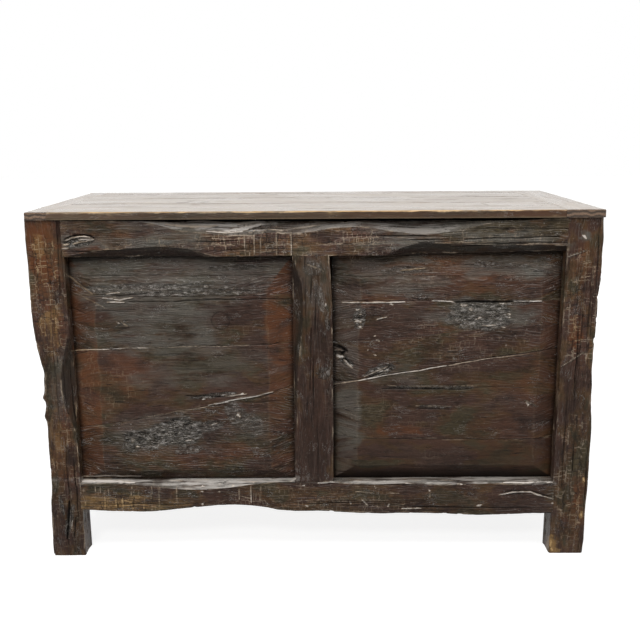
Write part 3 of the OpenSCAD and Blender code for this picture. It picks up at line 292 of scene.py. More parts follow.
# Tints: the share of the value's noise that is kept beside them, and x, z, half length, half
# height and strength of each
TINTS = {
    # Grey dust on rubbed lacquer, and painted sheen
    "ash": (0.35, [
        (200, 660, 110, 26, 0.7), (300, 585, 80, 20, 0.5), (-150, 320, 50, 40, 0.35),
        (-560, 440, 20, 60, 0.4), (-430, 690, 120, 26, 0.8), (440, 757, 105, 22, 1.0),
        (200, 752, 110, 20, 0.9), (-370, 757, 130, 20, 1.0), (0, 640, 30, 60, 0.4),
        (-300, 700, 170, 24, 0.6), (500, 695, 55, 28, 1.0), (-350, 585, 165, 95, 0.9),
        (-270, 470, 150, 60, 0.55), (-365, 300, 120, 48, 0.5), (375, 590, 92, 34, 0.95),
        (75, 350, 32, 100, 0.8), (180, 690, 120, 30, 0.6), (420, 695, 110, 26, 0.65),
        (-522, 760, 40, 16, 0.9), (-480, 690, 80, 30, 0.6), (-12, 690, 34, 40, 0.55),
        (180, 440, 70, 26, 0.45), (-300, 790, 120, 16, 0.5), (250, 785, 140, 16, 0.45),
        (596, 765, 12, 12, 0.9), (-590, 420, 26, 80, 0.5),
    ]),
    "warm": (0.35, [
        (250, 695, 130, 18, 0.8), (380, 680, 60, 14, 0.7), (500, 440, 50, 60, 0.4),
        (-300, 260, 180, 30, 0.5), (-78, 560, 34, 110, 1.0), (-84, 420, 28, 60, 0.6),
        (-530, 430, 34, 150, 0.55), (-430, 440, 90, 60, 0.45), (200, 315, 52, 14, 0.8),
        (470, 330, 90, 120, 0.25), (-600, 720, 40, 90, 1.0), (-600, 560, 30, 60, 0.7),
        (588, 550, 18, 36, 1.0), (620, 165, 14, 46, 1.0), (610, 90, 26, 40, 0.6),
        (-590, 260, 34, 110, 0.5), (600, 690, 30, 60, 0.4), (-470, 755, 90, 26, 0.4),
        (-190, 745, 40, 26, 0.25), (120, 640, 90, 30, 0.4), (360, 660, 160, 20, 0.35),
    ]),
    "tan": (0.35, [
        (-470, 134, 92, 20, 0.75), (-350, 130, 60, 14, 0.35), (560, 20, 12, 26, 1.0),
        (575, 6, 10, 8, 0.9), (-600, 560, 24, 46, 0.6), (-612, 745, 14, 24, 0.4),
        (-610, 300, 20, 60, 0.3), (628, 190, 6, 12, 0.8), (629, 100, 5, 10, 0.8),
    ]),
    "craze": (0.5, [
        (-120, 758, 150, 42, 1.0), (95, 755, 70, 40, 0.9), (-460, 140, 100, 34, 1.0),
        (20, 140, 260, 44, 0.5), (-600, 620, 40, 160, 1.0), (600, 600, 40, 160, 0.9),
        (-590, 200, 40, 160, 0.7), (600, 180, 34, 160, 0.9), (-380, 745, 120, 26, 0.5),
        (-480, 420, 70, 90, 0.3), (330, 520, 150, 60, 0.35), (400, 752, 140, 30, 0.4),
    ]),
    # Painted highlights, with some dust, on the top rail's wane and along the bottom rail's top edge
    "pale": (0.35, [
        (-300, 196, 260, 9, 0.9), (300, 194, 270, 9, 0.55), (-155, 791, 80, 17, 1.0),
        (-320, 800, 70, 12, 0.5), (20, 790, 90, 12, 0.35), (220, 786, 90, 16, 0.4),
        (-260, 184, 130, 16, 0.9), (-480, 193, 90, 10, 0.7), (130, 184, 80, 8, 0.7),
        (320, 182, 90, 8, 0.9), (500, 184, 60, 8, 0.8), (-90, 190, 50, 7, 0.6),
    ]),
    "shade": (0.8, [
        (-520, 245, 60, 50, 0.6), (-330, 657, 200, 7, 0.5), (-120, 655, 60, 16, 0.5),
        (-480, 610, 50, 18, 0.4), (-240, 300, 50, 30, 0.35), (-100, 240, 60, 40, 0.3),
        (75, 430, 32, 50, 0.45), (70, 650, 32, 40, 0.4), (400, 724, 130, 8, 0.5),
        (250, 335, 130, 24, 0.3), (130, 560, 60, 50, 0.3), (530, 420, 26, 180, 0.4),
        (400, 250, 160, 40, 0.4), (-160, 470, 60, 20, 0.3), (-540, 760, 10, 40, 0.4),
        (-300, 742, 60, 14, 0.3), (380, 800, 130, 8, 0.3), (-610, 500, 16, 40, 0.3),
        (600, 380, 30, 80, 0.25), (-585, 60, 34, 60, 0.3), (350, 130, 180, 24, 0.35),
        (-340, 150, 80, 20, 0.3), (-120, 745, 60, 24, 0.4), (120, 735, 60, 16, 0.3),
    ]),
}
# The round plug in the left panel: its place and radius
PLUG = (-215, 577, 20)


# Areas and lines

def blob(x, z, mark, seed, ragged=0.35, soft=0.22):
    """1 in the middle of a turned ellipse and 0 outside it, with a ragged edge: the ellipse's radius
    share, shaken by noise, run through step."""
    cx, cz, rx, rz, turn = mark[:5]
    c, s = math.cos(math.radians(turn)), math.sin(math.radians(turn))
    dx, dz = x - cx, z - cz
    u, v = (dx * c + dz * s) / rx, (-dx * s + dz * c) / rz
    near = (np.abs(u) < 1.8) & (np.abs(v) < 1.8)
    out = np.zeros(x.shape)
    if near.any():
        size = 0.3 * (rx + rz)
        shake = ragged * cloud(x[near] / size, z[near] / size * 2.2, seed, 4, 0.6)
        out[near] = 1 - step(1.0 - soft, 1.0, np.hypot(u[near], v[near]) + shake)
    return out


def tinted(x, z, marks, seed):
    """The strongest of a list of tints at each point."""
    out = np.zeros(x.shape)
    for n, (cx, cz, rx, rz, strength) in enumerate(marks):
        out = np.maximum(out, strength * blob(x, z, (cx, cz, rx * 1.25, rz * 1.25, 0), seed + n, 0.6, 0.45))
    return out


def scratched(x, z, marks, seed):
    """Cracks and scratches: a bell across each line of points, whose width is shaken by noise along the
    line, and which thins out towards both ends."""
    out = np.zeros(x.shape)
    for n, (width, strength, *places) in enumerate(marks):
        p = np.reshape(places, (-1, 2)).astype(float)
        (x0, z0), (x1, z1) = p.min(0) - 8, p.max(0) + 8
        near = (x > x0) & (x < x1) & (z > z0) & (z < z1)
        if not near.any():
            continue
        a, b = x[near], z[near]
        lengths = np.hypot(*np.diff(p, axis=0).T)
        begins = np.concatenate([[0], np.cumsum(lengths)])
        b = b + 0.012 * begins[-1] * cloud(a / (0.3 * begins[-1]), 0, seed + n, 3)
        gap, place = np.full(a.shape, 99.0), np.zeros(a.shape)
        for start, end, length, begin in zip(p[:-1], p[1:], lengths, begins):
            u, w = (end - start) / length
            along = np.clip((a - start[0]) * u + (b - start[1]) * w, 0, length)
            far = np.hypot(a - start[0] - along * u, b - start[1] - along * w)
            place = np.where(far < gap, begin + along, place)
            gap = np.minimum(gap, far)
        middle = 1 - (2 * place / begins[-1] - 1) ** 2
        wide = width * (0.45 + 0.55 * np.sqrt(middle)) * (1 + 0.5 * cloud(place / 9, 0, seed + n, 2))
        out[near] = np.maximum(out[near], strength * np.exp(-(gap / wide) ** 2))
    return out


def splits(a, b, spans, count, width, depth, seed):
    """Splits along the grain at places drawn from a seeded generator: a bell across each line, which
    wanders by noise and tapers to a point at both ends."""
    rng = np.random.default_rng(seed)
    (a0, a1), (b0, b1) = spans
    out = np.zeros(a.shape)
    for n in range(count):
        middle, across = rng.uniform(a0, a1), rng.uniform(b0, b1)
        half = rng.uniform(0.05, 0.22) * (a1 - a0) + 12
        deep = depth * rng.uniform(0.4, 1.0)
        near = (np.abs(a - middle) < half) & (np.abs(b - across) < 10)
        if near.any():
            line = across + 3.0 * cloud(a[near] / 70, 0, seed + n, 3)
            taper = 1 - ((a[near] - middle) / half) ** 2
            bell = np.exp(-((b[near] - line) / (width * (0.4 + taper))) ** 2)
            out[near] = np.maximum(out[near], deep * taper * bell)
    return out


def raised(values, key, amount):
    """Raises a point value to the amount, where it is lower."""
    values[key] = np.maximum(values[key], amount)


# Surfaces

# Stretches of a section's loop
FLAT, HIGH_ARRIS, SIDE, REAR, LOW_ARRIS = range(5)


class Section:
    """A timber's section at each station of its length, as closed loops of points.

    A loop runs over the face from the low edge to the high edge, over the high arris, down the high
    side, round the back and up the low side. An arris is a straight facet with its two legs, bowed
    out towards a quarter ellipse by the share bow. All arrays are stations by points.
    """

    def __init__(self, along, low, high, thick, low_legs, high_legs, pitch, bow=0.35, back=(2.0, 2.0)):
        low, high, low_w, low_d, high_w, high_d = (
            np.broadcast_to(size, len(along))[:, None] for size in (low, high, *low_legs, *high_legs))
        width, leg = float(np.max(high - low)), max(np.max(low_legs), np.max(high_legs))
        face_n, side_n = max(int(width / pitch), 4), max(int(thick / (pitch * 1.5)), 3)
        arris_n, back_n = max(int(leg * 1.3 / pitch), 4), max(int(width / 14), 3)

        def run(count, w0, w1, d0, d1, bowed=0.0, first=1, last=None, turned=False):
            """Count steps from (w0, d0) to (w1, d1), or the other way where turned: a chord, moved
            towards the quarter ellipse by bowed."""
            t = np.linspace(0, 1, count + 1)[None, first:last]
            t = 1 - t if turned else t
            turn = t * math.pi / 2
            return (w0 + (w1 - w0) * (t + bowed * (np.sin(turn) - t)),
                    d0 + (d1 - d0) * (t + bowed * (1 - np.cos(turn) - t)))

        def whole(size):
            """The same for each station."""
            return np.broadcast_to(size, (len(along), size.shape[1]))

        parts = (
            (FLAT, run(face_n - 1, low + low_w, high - high_w, 0, 0, first=0)),
            (HIGH_ARRIS, run(arris_n, high - high_w, high, 0, high_d, bow)),
            (SIDE, run(side_n, high, high, high_d, thick - back[1])),
            (REAR, run(3, high - back[1], high, thick, thick - back[1], 1.0, turned=True)),
            (REAR, run(back_n, high - back[1], low + back[0], thick, thick)),
            (REAR, run(3, low + back[0], low, thick, thick - back[0], 1.0)),
            (SIDE, run(side_n, low, low, thick - back[0], low_d)),
            (LOW_ARRIS, run(arris_n, low + low_w, low, 0, low_d, bow, last=-1, turned=True)),
        )
        self.w = np.hstack([whole(w) for kind, (w, d) in parts])
        self.d = np.hstack([whole(d) for kind, (w, d) in parts])
        self.kind = np.concatenate([np.full(w.shape[1], kind) for kind, (w, d) in parts])
        self.s = np.broadcast_to(along[:, None], self.w.shape)
        self.low, self.high, self.thick = low, high, thick
        self.legs = low_w, low_d, high_w, high_d
        self.upper = self.w > (low + high) / 2

    def normals(self):
        """Outward normals in the section's plane: the loop's tangent, turned by a right angle."""
        across = np.roll(self.w, -1, 1) - np.roll(self.w, 1, 1)
        inwards = np.roll(self.d, -1, 1) - np.roll(self.d, 1, 1)
        size = np.hypot(across, inwards) + 1e-9
        return inwards / size, -across / size

    def unfolded(self):
        """Distance across the timber's skin, so that patterns run on over the arrises: the place across
        the face, plus the depth on the high side, less the depth on the low side."""
        return self.w + np.where(self.upper, 1.0, -1.0) * self.d

    def facets(self, low, high):
        """1 on the low or high arris where it is cut back by 9 mm or more, and 0 where under 3 mm."""
        low_w, _, high_w, _ = self.legs
        return (low * (self.kind == LOW_ARRIS) * step(3, 9, low_w)
                + high * (self.kind == HIGH_ARRIS) * step(3, 9, high_w))

    def edge_nearness(self, reach):
        """1 on an arris and 0 at reach millimetres from it, on the face and on the sides."""
        low_w, low_d, high_w, high_d = self.legs
        on_face = np.minimum(np.abs(self.w - self.low - low_w), np.abs(self.high - high_w - self.w))
        on_side = np.abs(self.d - np.where(self.upper, high_d, low_d))
        gap = np.where(self.kind == FLAT, on_face, np.minimum(on_face, on_side))
        return np.clip(1 - gap / reach, 0, 1)


# One closed surface: its vertices, quads, caps and point values
Shell = namedtuple("Shell", "points quads caps values")
# ash is grey dust with painted sheen, pale is painted highlight with dust, shade is darker tone and painted
# shade, and hollow is cracks, joints and painted shade
VALUES = ("wear", "ash", "warm", "tan", "craze", "torn", "hollow", "shade", "pale", "rugged")


def carried(section, axes, face, relief, values, name):
    """The closed surface of a section carried along a timber: each loop is drawn in by the relief along
    its normals, and set at its place along the length. The two end loops are closed by flat caps."""
    along, across, inwards = (np.array(v, float) for v in AXES[axes])
    nw, nd = section.normals()
    w, d = section.w - nw * relief, section.d - nd * relief
    points = section.s[..., None] * along + w[..., None] * across + (d - face)[..., None] * inwards
    index = np.arange(w.size).reshape(w.shape)
    after = np.roll(index, -1, 1)
    quads = np.stack([index[:-1], index[1:], after[1:], after[:-1]], -1).reshape(-1, 4)
    caps = [index[0][::-1], index[-1]]
    if np.linalg.det(np.array([along, across, inwards])) > 0:
        quads = quads[:, ::-1]
    else:
        caps = [cap[::-1] for cap in caps]
    rng = np.random.default_rng(seed_of(name))
    grain = np.stack([section.s + rng.uniform(0, 900), section.unfolded() + rng.uniform(0, 900),
                      np.full(w.shape, rng.uniform(0, 900))], -1) * MM
    made = {key: np.broadcast_to(values[key], w.shape).ravel() for key in VALUES}
    return Shell(points.reshape(-1, 3), quads, caps, {**made, "grain": grain.reshape(-1, 3)})


def plain_shell(points, quads, caps):
    """A closed surface without wear, on which patterns follow the place."""
    points = points.reshape(-1, 3)
    values = {key: np.zeros(len(points)) for key in VALUES}
    return Shell(points, quads.reshape(-1, 4), caps, {**values, "grain": points * MM})


def tube(path, sides, radius, axes, closed=False):
    """A tube round a path: at each point of the path a circle of radius in the plane of the two axes
    given for it. A closed path has no ends, and an open one gets flat caps."""
    turn = np.linspace(0, 2 * math.pi, sides, endpoint=False)[None, :, None]
    radius = np.broadcast_to(radius, (len(path), sides))[..., None]
    first, second = (np.broadcast_to(np.array(axis, float), path.shape)[:, None] for axis in axes)
    points = path[:, None] + radius * (np.cos(turn) * first + np.sin(turn) * second)
    index = np.arange(len(path) * sides).reshape(len(path), sides)
    now, after = (index, np.roll(index, -1, 0)) if closed else (index[:-1], index[1:])
    quads = np.stack([now, np.roll(now, -1, 1), np.roll(after, -1, 1), after], -1)
    return plain_shell(points, quads, [] if closed else [index[0][::-1], index[-1]])


def put_mesh(name, shells, materials):
    """One mesh object from shells: their faces go straight into the mesh's arrays, in metres, caps take
    the last material, and edges sharper than 40 degrees stay sharp."""
    starts = np.cumsum([0] + [len(s.points) for s in shells[:-1]])
    quads = np.vstack([s.quads + start for s, start in zip(shells, starts)])
    caps = [cap + start for s, start in zip(shells, starts) for cap in s.caps]
    corners = np.concatenate([quads.ravel(), *caps])
    sizes = np.array([4] * len(quads) + [len(cap) for cap in caps])
    slots = np.where(np.arange(len(sizes)) < len(quads), 0, len(materials) - 1)
    mesh = bpy.data.meshes.new(name)
    for material in materials:
        mesh.materials.append(material)
    mesh.vertices.add(sum(len(s.points) for s in shells))
    mesh.loops.add(len(corners))
    mesh.polygons.add(len(sizes))

    def fill(data, key, numbers, kind=np.int32):
        """Gives each item of the data its own numbers."""
        data.foreach_set(key, np.ascontiguousarray(numbers, kind).ravel())

    fill(mesh.vertices, "co", np.vstack([s.points for s in shells]) * MM, np.float32)
    fill(mesh.loops, "vertex_index", corners)
    fill(mesh.polygons, "loop_start", np.cumsum(sizes) - sizes)
    fill(mesh.polygons, "material_index", slots)
    fill(mesh.polygons, "use_smooth", np.ones(len(sizes)), bool)
    mesh.update(calc_edges=True)
    for key in (*VALUES, "grain"):
        kind, part = ("FLOAT_VECTOR", "vector") if key == "grain" else ("FLOAT", "value")
        numbers = np.concatenate([s.values[key] for s in shells])
        fill(mesh.attributes.new(key, kind, "POINT").data, part, numbers, np.float32)
    mesh.validate()
    mesh.set_sharp_from_angle(angle=math.radians(40))
    piece = bpy.data.objects.new(name, mesh)
    bpy.context.scene.collection.objects.link(piece)
    return piece


# The finish of the sawn ends that belongs to each wood
END_FINISH = {"frame_wood": "end_grain", "panel_wood": "end_grain", "top_wood": "top_end_grain"}


def dress(node, shells, slot):
    """Makes the piece that stands for a CAD node and rides on that node's body. Its finish has the name
    of the material slot."""
    finishes = [finish_of(name) for name in (slot, END_FINISH.get(slot)) if name]
    piece = put_mesh(node + ("_iron" if slot == "iron" else "_wood"), shells, finishes)
    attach(piece, frame["nodes"][node]["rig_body"])
    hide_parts(node)


# Wood

def stations(start, end, pitch):
    """Places along a timber, about pitch apart."""
    return np.linspace(start, end, max(int(abs(end - start) / pitch), 2) + 1)


def worn_legs(along, size, seed, edge=None, rise=1.0):
    """Both legs of an arris, millimetres: worn by size, more in some places. A natural edge cuts it back
    further, by the smooth curve through its points on the face and rise times that on the side."""
    worn = size * (1.0 + 0.55 * cloud(along / 60, 0, seed, 3) + 0.25 * cloud(along / 9, 0, seed + 5, 2))
    if edge is None:
        return worn, worn * (0.8 + 0.3 * cloud(along / 40, 0, seed + 9, 2))
    cut = through(edge, along)
    return np.maximum(worn, cut), np.maximum(worn * 0.9, cut * rise)


# Noise of each tint: strength, base, length, height and the number added to the seed
TINT_NOISE = {
    "warm": (0.55, 0.1, 120, 40, 21), "ash": (0.6, -0.05, 90, 30, 23),
    "craze": (0.8, 0.0, 130, 50, 27), "shade": (0.5, 0.0, 160, 45, 31),
}


def worn_skin(section, seed, deep, ridges, split_count, split_depth, wear):
    """Depth of the hewn skin under the plain timber, and the point values that its material reads. The
    depth adds up tool cuts, a slow swell, lumps, ridges of grain, splits, and chips off the arrises, and
    fades out towards the back. Arrises and chips are worn, splits are hollow, and tints are noise."""
    s, v = section.s, section.unfolded()
    cut = 1 - scoops(s / 74, v / 33, seed)
    swell = 0.5 + 0.5 * cloud(s / 190, v / 70, seed + 3, 2)
    grain = 0.5 + 0.5 * cloud(s / 60, v / 4.5, seed + 7, 3, 0.6)
    lumps = 0.5 + 0.5 * cloud(s / 26, v / 9, seed + 9, 3, 0.55)
    relief = deep * (0.9 * cut + 0.8 * swell + 0.45 * lumps) + ridges * grain
    skirt = section.thick * 0.5
    spans = (s.min(), s.max()), (section.low.min() - skirt, section.high.max() + skirt)
    cracks = splits(s, v, spans, split_count, 0.9, split_depth, seed + 11)
    chip = step(0.28, 0.62, cloud(s / 17, v / 11, seed + 13, 3))
    chip = chip * step(0.35, 1.0, section.edge_nearness(9.0))
    relief = relief + cracks + 1.6 * chip * (0.5 + deep)
    relief = relief * (1 - step(0.72, 0.97, section.d / section.thick))
    rub = 0.5 + 0.9 * cloud(s / 34, v / 9, seed + 17, 4, 0.6)
    arris = step(0.4, 1.0, section.edge_nearness(5.0)) * step(0.55, 1.0, rub)
    values = {key: np.zeros(s.shape) for key in VALUES}
    values["wear"] = wear * np.clip(arris + 0.5 * chip * step(0.3, 0.8, rub), 0, 1)
    values["hollow"] = np.clip(cracks / 2.2, 0, 1)
    values["rugged"] = np.clip(0.75 + 0.6 * cloud(s / 110, v / 50, seed + 37, 3), 0.1, 1.3)
    for key, (strength, base, length, height, extra) in TINT_NOISE.items():
        values[key] = np.clip(strength * cloud(s / length, v / height, seed + extra, 3) + base, 0, 1)
    return relief, values


def place_marks(section, axes, relief, values, depth):
    """The relief and values with what the photograph shows at its place: torn patches, scratches, tints,
    and a groove with painted shadow below and right of each bright line. Their places are those on the
    plane of the back's face, so each point of the skin, which lies deeper by depth, is first moved to
    that plane along its line to the camera."""
    rail = axes == "back_rail"
    shrink = SIGHT / (SIGHT + depth)
    x, z = (section.s, section.w) if rail else (section.w, section.s)
    x, z = EYE_X + (x - EYE_X) * shrink, EYE_Z + (z - EYE_Z) * shrink
    front = 1 - step(0.5, 0.7, section.d / section.thick)
    for n, mark in enumerate(TORN):
        patch = blob(x, z, mark, 700 + n) * front
        if patch.any():
            tear = 0.5 + 0.5 * cloud(x / 16, z / 5.5, 900 + n, 4, 0.62)
            relief = relief + patch * mark[5] * (0.25 + 0.9 * tear)
            raised(values, "torn", patch * min(0.15 + mark[5] / 5, 1.0))
    line = scratched(x, z, SCRATCHES, 500) * front
    bright = scratched(x, z, RUBBED, 300)
    # A groove with painted shadow just below and right of each bright line
    groove_and_painted_shadow = np.clip(1.3 * scratched(x - 2.0, z + 2.4, RUBBED, 300) - 2.0 * bright, 0, 1) * front
    relief = relief + line + 0.8 * groove_and_painted_shadow
    raised(values, "hollow", np.maximum(np.clip(line / 2.5, 0, 1), 0.85 * groove_and_painted_shadow))
    bright = 1.7 * bright
    for n, mark in enumerate(CHIPS):
        bright = np.maximum(bright, 1.35 * blob(x, z, mark, 800 + n, 0.9, 0.5))
    raised(values, "wear", bright * front)
    if rail:
        plug_x, plug_z, radius = PLUG
        ring = np.exp(-((np.hypot(x - plug_x, z - plug_z) - radius) / 1.3) ** 2) * front
        relief = relief + 0.9 * ring
        raised(values, "hollow", 0.6 * ring)
    for key, (kept, marks) in TINTS.items():
        values[key] = np.maximum(values[key] * kept, tinted(x, z, marks, seed_of(key)) * front)
    return relief


# Natural edges of the back, read off the photograph. Places are x or z, sizes millimetres.
TOP_WANE = [
    (-410, 0), (-350, 7), (-300, 20), (-250, 27), (-200, 29), (-150, 30), (-100, 25), (-50, 27), (0, 22),
    (50, 14), (100, 13), (150, 20), (200, 26), (250, 30), (300, 24), (400, 4), (440, 0),
]
TOP_HOLLOW = [
    (-557, 3), (-520, 10), (-480, 16), (-400, 21), (-340, 24), (-280, 18), (-245, 8), (-215, 0), (150, 0),
    (200, 20), (230, 27), (300, 24), (400, 19), (500, 17), (555, 14),
]
TOP_GAP = [
    (-430, 0), (-400, 2), (-350, 3.5), (-300, 5), (-250, 3.5), (-210, 6), (-150, 6.5), (-100, 5),
    (-40, 6), (20, 5), (60, 6.5), (120, 4.5), (180, 6), (240, 7), (300, 5), (360, 6), (420, 4.5),
    (480, 3), (520, 0),
]
TOP_LOW_EDGE = [(-556, 0), (0, 0), (60, 0), (300, 3), (556, 8)]
BASE_WANE = [
    (-556, 0), (-500, 2), (-450, 5), (-400, 9), (-350, 15), (-300, 18), (-250, 18), (-200, 13), (-150, 6),
    (-100, 2), (-50, 0), (40, 2), (90, 8), (200, 6), (300, 10), (420, 7), (500, 10), (556, 8),
]
BASE_LOW_EDGE = [
    (-556, 18), (-545, 17), (-500, 14), (-450, 13), (-400, 12), (-350, 16), (-300, 21), (-120, 21),
    (-100, 16), (-50, 11), (0, 11), (50, 9), (100, 5), (150, 4), (200, 5), (250, 4), (300, 3), (350, 0),
    (400, -1), (450, 0), (500, 2), (556, 3),
]
LEFT_POST_EDGE = [
    (0, 6), (20, 5), (60, 7), (100, 7.5), (140, 9), (160, 12), (185, 14), (220, 13.2), (300, 14),
    (340, 13.5), (352, 10.5), (364, 13), (388, 14), (397, 9.5), (408, 13), (440, 16), (458, 17.3),
    (480, 12.2), (500, 8.4), (520, 4.8), (545, 2.2), (580, 0.3), (610, -1.0), (650, 0), (700, 0.2),
    (740, -1), (807, 0),
]
RIGHT_POST_EDGE = [
    (0, 2), (10, 1.5), (30, 0), (60, 0.2), (90, 1.6), (120, 1.2), (145, 0), (300, 0), (320, 0), (345, 1),
    (360, 2.9), (380, 4.7), (400, 5.9), (420, 5.8), (440, 7.3), (460, 8.2), (480, 7.2), (500, 7.6),
    (520, 6.8), (560, 5.6), (600, 4.3), (620, 4.8), (640, 3.5), (700, 2.2), (740, 3), (760, 2.2),
    (780, 3.2), (800, 5), (807, 5),
]
LEFT_POST_WANE = [
    (0, 0), (305, 0), (340, 12), (370, 22), (400, 28), (440, 29), (480, 23), (520, 13), (562, 0),
    (807, 0),
]
MUNTIN_WANE = [
    (188, 0), (260, 4), (350, 8), (450, 10), (500, 14), (550, 21), (600, 24), (650, 22), (700, 10),
    (724, 4),
]
MUNTIN_RIGHT_EDGE = [(188, 0), (480, 1), (650, 4), (700, 7), (724, 8)]
# The share of each wane's width on the face that it takes off the side
WANE_RISE, FACET_RISE = 0.62, 0.67
RAIL_THICK, POST_THICK, MUNTIN_THICK = 46, 56, 40
# How far the ends of the back's timbers, and of the plainer rails, run into the next timber
INTO_JOINT, INTO_POST = 5.0, 4
# How far the worn skin starts outside the solid's faces, so that it ends level with them
PROUD, POST_PROUD = 2.6, 9.2


def back_timber(node, axes, along, low, high, thick, low_legs, high_legs, deep,
                split_count, dark=(False, False), gloom=0.0):
    """A timber of the back, with its natural edges, marks and tints. dark says whether its low and its
    high facet lie in shade, which is painted on them, and gloom darkens it all over. A rail's facets
    that face up get grey dust, painted sheen and painted highlights, and the top rail's upper side,
    under the top, gets painted shade."""
    look = bpy.context.scene.sideboard_sizes
    section = Section(along, low, high, thick, low_legs, high_legs, look.mesh_pitch / MM, bow=0.15)
    relief, values = worn_skin(section, seed_of(node), deep=deep * look.hewn_depth / MM,
                               ridges=look.grain_depth / MM, split_count=split_count,
                               split_depth=look.split_depth / MM, wear=0.9)
    relief = place_marks(section, axes, relief, values, section.d)
    if axes == "back_rail":
        # Facets that face up: grey dust with painted sheen, and the only place for painted highlights
        dust_and_highlight_facing_up = step(0.15, 0.5, section.normals()[0])
        raised(values, "ash", 0.8 * dust_and_highlight_facing_up)
        values["pale"] = values["pale"] * dust_and_highlight_facing_up
    else:
        values["rugged"] = 0.6 * values["rugged"]
    # The facets named in dark get painted shade
    values["shade"] = np.maximum(values["shade"] * (1 - gloom) + gloom, 0.9 * section.facets(*dark))
    if node == "back_top_rail":
        # The top rail's upper side, under the top, is painted black as shade, without highlights
        painted_shade_under_top = 1.0 * (section.kind == SIDE) * section.upper
        raised(values, "hollow", painted_shade_under_top)
        values["pale"] = values["pale"] * (1 - painted_shade_under_top)
    dress(node, [carried(section, axes, FACE_Y + PROUD, relief, values, node)], "frame_wood")


def make_back_frame():
    """The posts, rails and middle upright of the back."""
    look = bpy.context.scene.sideboard_sizes
    pitch, worn = look.mesh_pitch / MM * 1.3, look.arris_wear / MM
    along = stations(-INNER_X - INTO_JOINT, INNER_X + INTO_JOINT, pitch)
    back_timber("back_top_rail", "back_rail", along, RAIL_LOW + through(TOP_LOW_EDGE, along),
                FRAME_TOP - through(TOP_GAP, along), RAIL_THICK,
                worn_legs(along, worn, 11, TOP_HOLLOW, FACET_RISE),
                worn_legs(along, worn, 12, TOP_WANE, WANE_RISE),
                deep=0.9, split_count=22, dark=(True, False))
    back_timber("back_bottom_rail", "back_rail", along, FOOT_Z + through(BASE_LOW_EDGE, along), BASE_TOP,
                RAIL_THICK, worn_legs(along, worn * 1.5, 13), worn_legs(along, worn * 1.3, 14, BASE_WANE),
                deep=1.0, split_count=22, gloom=0.16)
    along = stations(0, FRAME_TOP, pitch)
    back_timber("post_back_left", "back_post", along,
                -SIDE_X - POST_PROUD + through(LEFT_POST_EDGE, along), -INNER_X, POST_THICK,
                worn_legs(along, worn * 1.5, 15), worn_legs(along, worn, 16, LEFT_POST_WANE, FACET_RISE),
                deep=1.2, split_count=20, dark=(False, True), gloom=0.14)
    back_timber("post_back_right", "back_post", along, INNER_X,
                SIDE_X + POST_PROUD - through(RIGHT_POST_EDGE, along), POST_THICK,
                worn_legs(along, worn, 17), worn_legs(along, worn * 1.4, 18),
                deep=1.1, split_count=18, gloom=0.1)
    along = stations(BASE_TOP - 1, RAIL_LOW + INTO_JOINT, pitch)
    back_timber("back_muntin", "back_post", along, MUNTIN[0][0] - 1.0,
                MUNTIN[1][0] - through(MUNTIN_RIGHT_EDGE, along), MUNTIN_THICK,
                worn_legs(along, worn, 19, MUNTIN_WANE, FACET_RISE), worn_legs(along, worn, 20),
                deep=0.9, split_count=12, dark=(True, False), gloom=0.3)


# Panels

# Joints between the boards of the back, as (x, z) points, from the lowest up
LEFT_JOINTS = [
    [(-560, 318), (-480, 331), (-400, 343), (-330, 357), (-250, 372), (-200, 387), (-100, 403), (-48, 421)],
    [(-560, 508), (-400, 513), (-260, 516), (-48, 520)],
    [(-560, 634), (-300, 630), (-48, 635)],
]
RIGHT_JOINTS = [
    [(38, 297), (100, 291), (300, 288), (560, 288)],
    [(38, 425), (97, 434), (200, 451), (300, 468), (400, 485), (510, 500), (560, 505)],
    [(38, 620), (300, 619), (560, 617)],
]
# For each board of a back panel, from the lowest up: how rough its skin is, how dark it is all over,
# and how far it lies under the proudest one
RUGGED = {"left": (1.0, 0.3, 0.4, 1.0), "right": (0.1, 0.4, 0.8, 0.9)}
GLOOM = {"left": (0.0, 0.0, 0.2, 0.0), "right": (0.2, 0.1, 0.05, 0.1)}
SUNK = {"left": (0.2, 1.9, 2.4, 3.4), "right": (0.6, 0.2, 2.8, 3.8)}
# The bevels of each back panel, left, right, bottom and top: their widths, and their tints with the
# strength of each. The bottom bevels' shade and hollow are painted shade, the left panel's grey top
# bevel, which faces up, is painted light with dust, and the right panel's grey left bevel is dust and
# painted sheen
BEVELS = {"left": (56, 58, 26, 72), "right": (58, 46, 34, 62)}
BEVEL_TINTS_AND_PAINTED_LIGHT = {
    "left": (("warm", 0.8), ("warm", 0.6), ("shade", 0.35), ("ash", 0.75)),
    "right": (("ash", 0.45), ("warm", 0.3), ("hollow", 0.85), ("warm", 0.3)),
}
# The right panel reaches higher, where the top rail's natural low edge rises
RIGHT_RISE = 5
# Depths of the field, the bevels' foot and the back: of the back's panels, those of the sides and
# front, and those of the doors
BACK_DEPTHS, SIDE_DEPTHS, DOOR_DEPTHS = (8.0, 22.0, 30.0), (8, 18, 26), (4, 10, 16)
SIDE_BEVEL, FRONT_BEVEL, DOOR_BEVEL = 40, 34, 24
# Distance between the mesh points of those plainer panels
PLAIN_PITCH = 3.2
# How far a panel reaches into the frame's groove
GROOVE = 4.0
# Half the gap between two boards at their backs, where no light comes through
BOARD_GAP = 0.05


